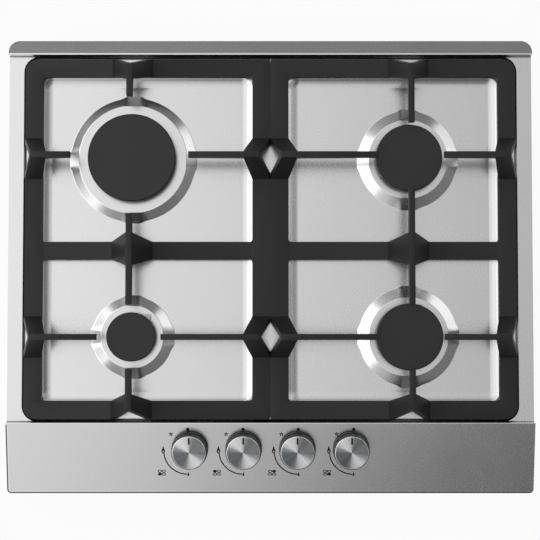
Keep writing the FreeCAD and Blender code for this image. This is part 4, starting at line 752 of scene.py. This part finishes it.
@dataclass
class PanelPrint:
    """Black marks printed on the panel round each knob."""

    pitch: float = 61.6 * MM
    ink: float = 0.06 * MM
    sunk: float = 0.02 * MM
    dot_place: Point = (0.3 * MM, 22.3 * MM, 0.0)
    dot_radius: float = 1.9 * MM
    star_place: Point = (-18.5 * MM, 16.8 * MM, 0.0)
    star_radius: float = 2.8 * MM
    star_line: float = 0.84 * MM
    star_points: int = 5
    arc_centre: Point = (0.0, -2.7 * MM, 0.0)
    arc_radius: float = 26.6 * MM
    arc_line: float = 1.3 * MM
    arc_ends: tuple[float, float] = (183.0, 269.0)
    flame_place: Point = (-27.2 * MM, -0.8 * MM, 0.0)
    flame_size: float = 4.4 * MM
    low_flame_place: Point = (0.6 * MM, -28.9 * MM, 0.0)
    low_flame_size: float = 2.5 * MM
    map_place: Point = (-29.0 * MM, -27.6 * MM, 0.0)
    map_pitch: Point = (4.5 * MM, 3.4 * MM, 0.0)
    map_cell: float = 3.5 * MM
    map_line: float = 0.8 * MM
    map_stretch: Point = (1.3, 0.92, 1.0)

    def raise_ink(self, piece: bpy.types.Object) -> None:
        """Gives a flat mark the thickness of its ink.

        Args:
            piece: Flat mark in the panel's plane.
        """
        Bench.edit(piece)
        bpy.ops.mesh.select_all(action="SELECT")
        bpy.ops.mesh.extrude_region_move(TRANSFORM_OT_translate={"value": (0, 0, self.ink)})
        Bench.done()

    def disc(self, name: str, place: Point, radius: float, points: int = 32) -> bpy.types.Object:
        """Makes a flat filled disc.

        Args:
            name: Its name.
            place: Its centre.
            radius: Its radius.
            points: Corners of its outline.

        Returns:
            The flat mark.
        """
        Bench.clear()
        bpy.ops.mesh.primitive_circle_add(vertices=points, radius=radius, fill_type="NGON", location=place)
        piece = Bench.take(name)
        bpy.ops.object.transform_apply(location=True, rotation=True, scale=True)
        return piece

    def hollow(self, piece: bpy.types.Object, line: float) -> None:
        """Leaves only an outline of a flat mark.

        Args:
            piece: Filled flat mark.
            line: Width of the outline.
        """
        Bench.edit(piece)
        bpy.ops.mesh.select_all(action="SELECT")
        bpy.ops.mesh.inset(thickness=line, depth=0.0)
        bpy.ops.mesh.delete(type="FACE")
        Bench.done()

    def dot(self) -> bpy.types.Object:
        """Makes the mark of the off position."""
        return self.disc("dot", self.dot_place, self.dot_radius)

    def star(self) -> bpy.types.Object:
        """Makes the outlined star of the ignition position.

        Returns:
            The flat mark.
        """
        piece = self.disc("star", self.star_place, self.star_radius, 2 * self.star_points)
        mesh = Bench.edit(piece, "VERT")
        centre = Vector(self.star_place)
        first = max(mesh.verts, key=lambda v: v.co.y)
        start = math.atan2(first.co.y - centre.y, first.co.x - centre.x)
        steps = [(v, (math.atan2(v.co.y - centre.y, v.co.x - centre.x) - start) * self.star_points / math.pi)
                 for v in mesh.verts]
        inner = [v for v, step in steps if round(step) % 2]
        Bench.pick(piece, mesh, inner)
        bpy.ops.transform.resize(value=(0.5, 0.5, 1.0), center_override=self.star_place)
        Bench.done()
        self.hollow(piece, self.star_line)
        return piece

    def flame(self, name: str, place: Point, size: float, hole: bool) -> bpy.types.Object:
        """Makes a flame shaped like a drop.

        Args:
            name: Its name.
            place: Its middle.
            size: Half of its height.
            hole: Whether its lower part is open.

        Returns:
            The flat mark.
        """
        piece = self.disc(name, place, size * 0.46, 24)
        mesh = Bench.edit(piece, "VERT")
        Bench.pick(piece, mesh, list(mesh.verts))
        bpy.ops.transform.translate(value=(0, -size * 0.52, 0))
        bpy.ops.mesh.select_all(action="DESELECT")
        Bench.pick(piece, mesh, [max(mesh.verts, key=lambda v: v.co.y)])
        bpy.ops.transform.translate(value=(0, size * 1.06, 0), use_proportional_edit=True,
                                    proportional_edit_falloff="SHARP", proportional_size=size * 0.62)
        Bench.done()
        if hole:
            Bench.edit(piece)
            bpy.ops.mesh.select_all(action="SELECT")
            bpy.ops.mesh.inset(thickness=size * 0.2, depth=0.0)
            low = (place[0], place[1] - size * 0.66, 0.0)
            bpy.ops.transform.resize(value=(0.75, 0.45, 1.0), center_override=low)
            bpy.ops.mesh.delete(type="FACE")
            Bench.done()
        return piece

    def arc(self) -> bpy.types.Object:
        """Makes the line from the large flame round to the small one.

        Returns:
            The flat mark.
        """
        Bench.clear()
        bpy.ops.mesh.primitive_circle_add(vertices=180, radius=self.arc_radius - self.arc_line / 2,
                                          fill_type="NOTHING", location=self.arc_centre)
        piece = Bench.take("arc")
        bpy.ops.object.transform_apply(location=True, rotation=True, scale=True)
        mesh = Bench.edit(piece, "VERT")
        centre = Vector(self.arc_centre)
        start, end = self.arc_ends
        spare = [v for v in mesh.verts
                 if not start < math.degrees(math.atan2(v.co.y - centre.y, v.co.x - centre.x)) % 360 < end]
        Bench.pick(piece, mesh, spare)
        bpy.ops.mesh.delete(type="VERT")
        bpy.ops.mesh.select_all(action="SELECT")
        grow = (self.arc_radius + self.arc_line / 2) / (self.arc_radius - self.arc_line / 2)
        bpy.ops.mesh.extrude_region_move()
        bpy.ops.transform.resize(value=(grow, grow, 1.0), center_override=self.arc_centre)
        Bench.done()
        return piece

    def burner_map(self, filled: Corner) -> list[bpy.types.Object]:
        """Makes the plan of the four burners with one filled in.

        Args:
            filled: Burner that this knob serves.

        Returns:
            The flat marks.
        """
        marks = []
        for corner in Corner:
            rear, left = "rear" in corner.value, "left" in corner.value
            place = (self.map_place[0] + self.map_pitch[0] * (-0.5 if left else 0.5),
                     self.map_place[1] + self.map_pitch[1] * (0.5 if rear else -0.5), 0.0)
            piece = self.disc(corner.value, place, self.map_cell / 2, 20)
            Bench.edit(piece)
            bpy.ops.mesh.select_all(action="SELECT")
            bpy.ops.transform.resize(value=self.map_stretch, center_override=place)
            Bench.done()
            if corner is not filled:
                self.hollow(piece, self.map_line)
            marks.append(piece)
        return marks

    def build(self, dresser: Dresser) -> None:
        """Prints all the marks of each knob as one piece.

        Args:
            dresser: Gives the finish.
        """
        order = (Corner.FRONT_LEFT, Corner.REAR_LEFT, Corner.REAR_RIGHT, Corner.FRONT_RIGHT)
        for number, served in enumerate(order, start=1):
            marks = [self.dot(), self.star(), self.arc(),
                     self.flame("flame", self.flame_place, self.flame_size, True),
                     self.flame("low_flame", self.low_flame_place, self.low_flame_size, False)]
            marks += self.burner_map(served)
            piece = Bench.join(marks, f"panel_print_{number}")
            self.raise_ink(piece)
            place = Control(number).place.copy()
            place.translation.x = (number - 2.5) * self.pitch
            Bench.settle(piece, place @ Matrix.Translation((0, 0, -self.sunk)), 20.0)
            dresser.dress(piece, INK)
            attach(piece, "hob")
            log.info("panel print %d: %d faces", number, len(piece.data.polygons))


@dataclass
class KnobFaces:
    """Spun metal discs with a black pointer line."""

    radius: float = 18.7 * MM
    seat: float = 15.4 * MM
    top: float = 17.0 * MM
    bevel: float = 0.7 * MM
    rings: int = 9
    pointer_inner: float = 9.7 * MM
    pointer_outer: float = 16.9 * MM
    pointer_width: float = 1.8 * MM
    pointer_proud: float = 0.05 * MM

    def disc(self, number: int) -> bpy.types.Object:
        """Models one disc with rings of faces and a bevelled rim.

        Args:
            number: Knob's number.

        Returns:
            The disc in the knob's own axes.
        """
        Bench.clear()
        bpy.ops.mesh.primitive_cylinder_add(vertices=96, radius=self.radius, depth=self.top - self.seat,
                                            location=(0, 0, (self.top + self.seat) / 2))
        piece = Bench.take(f"spun_face_painted_reflections_{number}")
        bpy.ops.object.transform_apply(location=True, rotation=True, scale=True)
        mesh = Bench.edit(piece, "EDGE")
        rim = [e for e in mesh.edges if all(v.co.z > self.top - 1e-6 for v in e.verts)]
        Bench.pick(piece, mesh, rim)
        bpy.ops.mesh.bevel(offset=self.bevel, segments=4, profile=0.6)
        mesh = Bench.edit(piece)
        cover = [f for f in mesh.faces if f.normal.z > 0.99 and len(f.verts) > 8]
        Bench.pick(piece, mesh, cover)
        step = (self.radius - self.bevel) / (self.rings + 1)
        for _ in range(self.rings):
            bpy.ops.mesh.inset(thickness=step, depth=0.0)
        bpy.ops.mesh.inset(thickness=step * 0.9, depth=0.0)
        Bench.done()
        return piece

    def unwrap(self, piece: bpy.types.Object) -> None:
        """Lays a UV map whose U runs round the disc and whose V runs out from its middle.

        Args:
            piece: Disc in the knob's own axes.
        """
        layer = piece.data.uv_layers.new(name="spun")
        for face in piece.data.polygons:
            middle = math.atan2(face.center.y, face.center.x)
            for loop in face.loop_indices:
                point = piece.data.vertices[piece.data.loops[loop].vertex_index].co
                turn = math.atan2(point.y, point.x)
                while turn - middle > math.pi:
                    turn -= 2 * math.pi
                while turn - middle < -math.pi:
                    turn += 2 * math.pi
                layer.data[loop].uv = (turn / (2 * math.pi) + 1.0, math.hypot(point.x, point.y) / self.radius)

    def pointer(self, number: int) -> bpy.types.Object:
        """Models the pointer line with round ends.

        Args:
            number: Knob's number.

        Returns:
            The pointer in the knob's own axes.
        """
        Bench.clear()
        middle = (self.pointer_inner + self.pointer_outer) / 2
        bpy.ops.mesh.primitive_cube_add(size=1.0, location=(0, middle, self.top))
        piece = Bench.take(f"pointer_line_{number}")
        piece.scale = (self.pointer_width, self.pointer_outer - self.pointer_inner, 2 * self.pointer_proud)
        bpy.ops.object.transform_apply(location=True, rotation=True, scale=True)
        mesh = Bench.edit(piece, "EDGE")
        upright = [e for e in mesh.edges if abs(e.verts[0].co.z - e.verts[1].co.z) > self.pointer_proud]
        Bench.pick(piece, mesh, upright)
        bpy.ops.mesh.bevel(offset=self.pointer_width * 0.3, segments=4)
        Bench.done()
        return piece

    def build(self, dresser: Dresser) -> None:
        """Puts a disc and its pointer on every knob.

        Args:
            dresser: Gives the finishes.
        """
        for number in range(1, 5):
            place = Control(number).place
            disc = self.disc(number)
            self.unwrap(disc)
            Bench.settle(disc, place, 30.0)
            dresser.dress(disc, SPUN_FACE_WITH_PAINTED_REFLECTIONS)
            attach(disc, f"knob_{number}")
            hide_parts(f"knob_face_{number}")
            line = self.pointer(number)
            Bench.settle(line, place, 30.0)
            dresser.dress(line, INK)
            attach(line, f"knob_{number}")
            log.info("knob face %d: %d faces", number, len(disc.data.polygons))


@dataclass
class TapSprings:
    """Coil springs between each tap's plug and its spindle's collar."""

    top: float = -18.0 * MM
    bottom: float = -24.1 * MM
    radius: float = 5.5 * MM
    wire: float = 0.45 * MM
    turns: int = 5
    kept: float = 0.50

    def build(self, dresser: Dresser) -> None:
        """Winds one spring and copies it to every tap.

        Args:
            dresser: Gives the finish.
        """
        height = self.top - self.bottom - 2 * self.wire
        Bench.clear()
        bpy.ops.mesh.primitive_circle_add(vertices=8, radius=self.wire, fill_type="NOTHING",
                                          location=(self.radius, 0, self.bottom + self.wire),
                                          rotation=(math.pi / 2, 0, 0))
        coil = Bench.take("tap_spring")
        bpy.ops.object.transform_apply(location=True, rotation=True, scale=True)
        Bench.modifier(coil, "SCREW", axis="Z", screw_offset=height / self.turns, iterations=self.turns,
                       steps=28, render_steps=28, use_merge_vertices=False)
        Bench.edit(coil, "EDGE")
        bpy.ops.mesh.select_non_manifold()
        bpy.ops.mesh.edge_face_add()
        Bench.done()
        for number in range(1, 5):
            place = Control(number).place
            piece = Bench.copy(coil, f"tap_spring_{number}")
            Bench.settle(piece, place, 50.0)
            dresser.dress(piece, WIRE_STEEL)
            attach(piece, f"plug_{number}")
            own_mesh(piece)
            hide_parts(f"valve_spring_{number}")
        bpy.data.objects.remove(coil)
        log.info("tap springs: 4")


@dataclass(frozen=True)
class SkyFade:
    """Change of the sky's level along one direction."""

    along: Point
    start: float
    end: float
    low: float
    high: float
    smooth: bool = True


@dataclass(frozen=True)
class SoftBox:
    """Rectangular lamp: its centre, its two sides in metres and its power in watts."""

    name: str
    place: Point
    size: tuple[float, float]
    power: float
    aim: Point = (0.0, 0.0, 0.05)


@dataclass
class Studio:
    """Floor, lamps, sky and camera."""

    fades: tuple[SkyFade, ...] = (
        SkyFade((-1.0, 0.0, 0.0), -0.35, 0.19, 0.40, 1.33, smooth=False),
        SkyFade((-1.2, 1.0, 0.0), -0.63, -0.37, 0.08, 1.0),
        SkyFade((0.0, 1.0, 0.0), -0.48, 0.0, 0.82, 1.0, smooth=False),
        SkyFade((0.0, 1.0, 0.0), 0.50, 0.90, 1.0, 0.55),
        SkyFade((0.0, 0.0, 1.0), 0.10, 0.85, 0.12, 1.0),
    )
    least: SkyFade = SkyFade((0.0, 0.0, 1.0), 0.40, 0.80, 0.26, 0.09)
    boxes: tuple[SoftBox, ...] = (
        SoftBox("box_left", (-1.40, 0.03, 1.00), (2.7, 1.0), 11.5),
        SoftBox("box_right", (1.28, 0.65, 0.74), (1.25, 0.60), 2.7),
        SoftBox("box_right_high", (0.85, 0.03, 1.03), (1.4, 0.45), 0.6),
    )
    focal_length: float = 92.1
    sensor_width: float = 36.0
    clip_end: float = 50.0
    camera_place: Point = (-0.00045, -0.0775, 1.6035)
    camera_tilt: float = 2.68
    floor_size: float = 14.0
    floor_glow: float = 0.93
    floor_near: float = 0.42
    floor_far: float = 1.3
    floor_far_level: float = 0.45
    floor_drop: float = 0.2 * MM
    floor_white: float = 0.90

    def floor(self) -> None:
        """Lays the pale floor, which falls into half shade away from the object."""
        bpy.ops.mesh.primitive_plane_add(size=self.floor_size, location=(0, 0, -self.floor_drop))
        plane = bpy.context.object
        plane.name = "studio_floor"
        recipe = Recipe("studio_floor")
        away = recipe.node("VectorMath", operation="LENGTH")
        recipe.link(recipe.place(), away.inputs[0])
        level = recipe.spread(away.outputs["Value"], 1.0, self.floor_far_level, self.floor_near,
                              self.floor_far)
        recipe.feed("Base Color", recipe.tint(level, (0.0,) * 3, (self.floor_white,) * 3))
        recipe.fix("Roughness", 0.9)
        glow = recipe.node("Emission")
        recipe.link(level, glow.inputs["Strength"])
        rays = recipe.node("LightPath")
        seen = recipe.sum(recipe.sum(rays.outputs["Is Camera Ray"], rays.outputs["Is Glossy Ray"], "MAXIMUM"),
                          rays.outputs["Is Transmission Ray"], "MAXIMUM")
        share = recipe.spread(seen, 0.0, self.floor_glow, 0.0, 1.0)
        mix = recipe.node("MixShader")
        recipe.link(share, mix.inputs["Fac"])
        recipe.link(recipe.shader.outputs["BSDF"], mix.inputs[1])
        recipe.link(glow.outputs["Emission"], mix.inputs[2])
        recipe.link(mix.outputs["Shader"], recipe.output.inputs["Surface"])
        plane.data.materials.append(recipe.material)

    def sky(self) -> None:
        """Sets a plain sky: palest overhead, paler on the left than on the right, dim in front and behind."""
        world = bpy.data.worlds.new("studio_sky")
        bpy.context.scene.world = world
        world.use_nodes = True
        tree = world.node_tree
        tree.nodes.clear()
        where = tree.nodes.new("ShaderNodeTexCoord")

        def ramp(fade: SkyFade) -> bpy.types.NodeSocket:
            """Level of one fade."""
            slant = tree.nodes.new("ShaderNodeVectorMath")
            slant.operation = "DOT_PRODUCT"
            slant.inputs[1].default_value = fade.along
            tree.links.new(where.outputs["Generated"], slant.inputs[0])
            made = tree.nodes.new("ShaderNodeMapRange")
            made.interpolation_type = "SMOOTHSTEP" if fade.smooth else "LINEAR"
            for name, value in (("From Min", fade.start), ("From Max", fade.end), ("To Min", fade.low),
                                ("To Max", fade.high)):
                made.inputs[name].default_value = value
            tree.links.new(slant.outputs["Value"], made.inputs["Value"])
            return made.outputs["Result"]

        def combine(first: bpy.types.NodeSocket, second: bpy.types.NodeSocket,
                    operation: str) -> bpy.types.NodeSocket:
            """Combines two levels."""
            made = tree.nodes.new("ShaderNodeMath")
            made.operation = operation
            tree.links.new(first, made.inputs[0])
            tree.links.new(second, made.inputs[1])
            return made.outputs["Value"]

        level = ramp(self.fades[0])
        for fade in self.fades[1:]:
            level = combine(level, ramp(fade), "MULTIPLY")
        level = combine(level, ramp(self.least), "MAXIMUM")
        background = tree.nodes.new("ShaderNodeBackground")
        output = tree.nodes.new("ShaderNodeOutputWorld")
        tree.links.new(level, background.inputs["Strength"])
        tree.links.new(background.outputs["Background"], output.inputs["Surface"])

    def lamp(self, box: SoftBox) -> None:
        """Hangs one soft box.

        Args:
            box: Its place, size and power.
        """
        data = bpy.data.lights.new(box.name, "AREA")
        data.shape = "RECTANGLE"
        data.size, data.size_y = box.size
        data.energy = box.power
        lamp = bpy.data.objects.new(box.name, data)
        bpy.context.scene.collection.objects.link(lamp)
        lamp.location = box.place
        lamp.rotation_euler = (Vector(box.aim) - Vector(box.place)).to_track_quat("-Z", "Y").to_euler()

    def camera(self) -> None:
        """Sets the camera high over the middle, tilted slightly to the rear."""
        data = bpy.data.cameras.new("camera")
        data.lens = self.focal_length
        data.sensor_width = self.sensor_width
        data.clip_end = self.clip_end
        camera = bpy.data.objects.new("camera", data)
        bpy.context.scene.collection.objects.link(camera)
        camera.location = self.camera_place
        camera.rotation_euler = (math.radians(self.camera_tilt), 0.0, 0.0)
        bpy.context.scene.camera = camera

    def build(self) -> None:
        """Sets up the whole studio."""
        self.camera()
        self.floor()
        self.sky()
        for box in self.boxes:
            self.lamp(box)
        bpy.context.scene.view_settings.view_transform = "Standard"


def main() -> None:
    """Builds the cooktop's looks and the studio."""
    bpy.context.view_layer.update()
    dresser = Dresser()
    dresser.dress_nodes()
    PanSupports().build(dresser)
    PanelPrint().build(dresser)
    KnobFaces().build(dresser)
    TapSprings().build(dresser)
    Studio().build()


if __name__ == "__main__":
    main()
